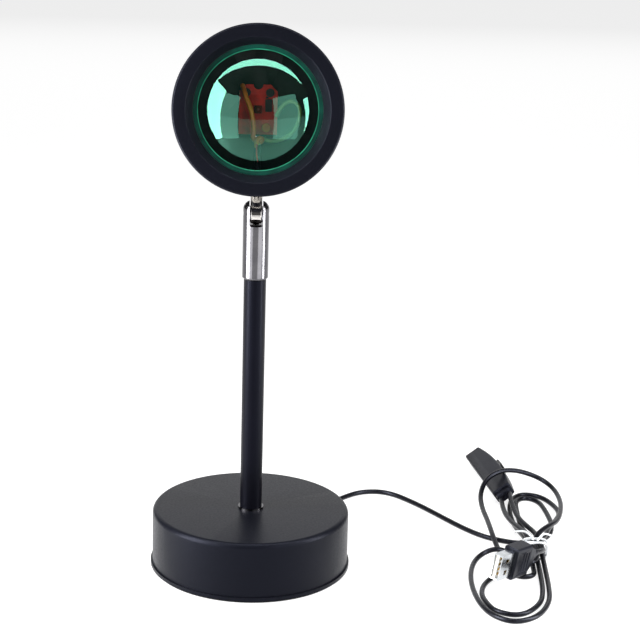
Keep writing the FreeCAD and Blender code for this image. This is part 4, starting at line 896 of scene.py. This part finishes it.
@dataclass
class Studio:
    """The pale floor, the soft lamps and the camera."""

    floor_glow: float = 0.8
    floor_size_m: float = 6.0
    room_glow: float = 0.1
    sensor_mm: float = 36.0
    lens_mm: float = 131.456
    eye: Point = (0.0, -1.0, 0.4343)

    def camera(self) -> None:
        """Puts the camera at the photograph's angle."""
        data = bpy.data.cameras.new("camera")
        data.sensor_width = self.sensor_mm
        data.lens = self.lens_mm
        data.clip_start, data.clip_end = 0.05, 20.0
        eye = bpy.data.objects.new("camera", data)
        right = Vector((0.99942965, -0.02118832, 0.02629511))
        up = Vector((-0.01869083, 0.3014402, 0.95330187))
        ahead = Vector((0.02812527, 0.95324963, -0.30087225))
        turn = Matrix((right, up, -ahead)).transposed().to_4x4()
        eye.matrix_world = Matrix.Translation(self.eye) @ turn
        bpy.context.scene.collection.objects.link(eye)
        bpy.context.scene.camera = eye

    def floor(self) -> None:
        """Lays the pale floor, which keeps the lamp's soft shadow."""
        shape = bmesh.new()
        bmesh.ops.create_grid(shape, x_segments=1, y_segments=1, size=self.floor_size_m)
        mesh = bpy.data.meshes.new("floor")
        shape.to_mesh(mesh)
        shape.free()
        floor = bpy.data.objects.new("floor", mesh)
        bpy.context.scene.collection.objects.link(floor)
        made = bpy.data.materials.new("white_studio_floor")
        made.use_nodes = True
        tree = made.node_tree
        tree.nodes.clear()
        rays = add_node(tree, "ShaderNodeLightPath")
        seen = add_node(tree, "ShaderNodeMath", links={0: rays.outputs["Is Camera Ray"],
                                                       1: rays.outputs["Is Glossy Ray"]}, operation="MAXIMUM")
        seen = add_node(tree, "ShaderNodeMath", links={0: seen.outputs[0], 1: rays.outputs["Is Transmission Ray"]},
                        operation="MAXIMUM")
        glow = add_node(tree, "ShaderNodeMath", {1: self.floor_glow}, {0: seen.outputs[0]}, operation="MULTIPLY")
        shader = add_node(tree, "ShaderNodeBsdfPrincipled",
                          {"Base Color": linear("#9a9a9a"), "Roughness": 0.9, "Specular IOR Level": 0.1,
                           "Emission Color": (1.0, 1.0, 1.0, 1.0)}, {"Emission Strength": glow.outputs[0]})
        add_node(tree, "ShaderNodeOutputMaterial", links={"Surface": shader.outputs[0]})
        mesh.materials.append(made)

    def softbox(self, name: str, place: Point, target: Point, wide: float, tall: float, power: float) -> None:
        """Hangs one soft lamp.

        Args:
            name: the lamp's name.
            place: where it hangs, in metres.
            target: what it points at, in metres.
            wide: its width in metres.
            tall: its height in metres.
            power: its power in watts.
        """
        data = bpy.data.lights.new(name, "AREA")
        data.shape = "RECTANGLE"
        data.size, data.size_y = wide, tall
        data.energy = power
        lamp = bpy.data.objects.new(name, data)
        lamp.location = place
        lamp.rotation_euler = (Vector(target) - Vector(place)).to_track_quat("-Z", "Y").to_euler()
        bpy.context.scene.collection.objects.link(lamp)

    def world(self) -> None:
        """Fills the room with even pale light."""
        world = bpy.data.worlds.new("studio")
        bpy.context.scene.world = world
        world.use_nodes = True
        tree = world.node_tree
        tree.nodes.clear()
        rays = add_node(tree, "ShaderNodeLightPath")
        level = add_node(tree, "ShaderNodeMapRange", {"To Min": self.room_glow, "To Max": 1.0},
                         {"Value": rays.outputs["Is Camera Ray"]})
        sky = add_node(tree, "ShaderNodeBackground", {"Color": (1.0, 1.0, 1.0, 1.0)},
                       {"Strength": level.outputs[0]})
        add_node(tree, "ShaderNodeOutputWorld", links={"Surface": sky.outputs[0]})

    def build(self) -> None:
        """Builds the camera, the floor, the room's light and the soft lamps."""
        self.camera()
        self.floor()
        self.world()
        height = 0.21
        self.softbox("softbox_left", (-0.32, -0.138, 0.226), (0.0, -0.138, 0.226), 0.2, 0.45, 4.6)
        self.softbox("softbox_right", (0.32, -0.076, 0.161), (0.0, -0.076, 0.161), 0.095, 0.32, 1.3)
        self.softbox("softbox_top", (0.0, -0.055, 0.71), (0.0, -0.055, 0.0), 1.9, 0.124, 8.5)
        self.softbox("softbox_front_left", (-0.264, -0.274, height), (0.0, 0.0, height), 0.22, 0.42, 0.8)
        self.softbox("softbox_front_right", (0.25, -0.29, height), (0.0, 0.0, height), 0.26, 0.42, 0.8)
        self.softbox("softbox_back", (0.0, 1.25, 0.55), (0.0, 0.0, 0.2), 1.8, 0.8, 4.5)
        bpy.context.scene.view_settings.view_transform = "Standard"


def main() -> None:
    """Builds the studio and every sub-assembly in order."""
    logging.basicConfig(level=logging.INFO, format="%(name)s: %(message)s")
    builders: list[Any] = [Studio(), WeightedBase(), Stem(), Swivel(), LampHead(), LightEngine(), CordFittings(),
                           TwistTie(), Cord()]
    for builder in builders:
        LOG.info("building %s", type(builder).__name__)
        builder.build()


if __name__ == "__main__":
    main()
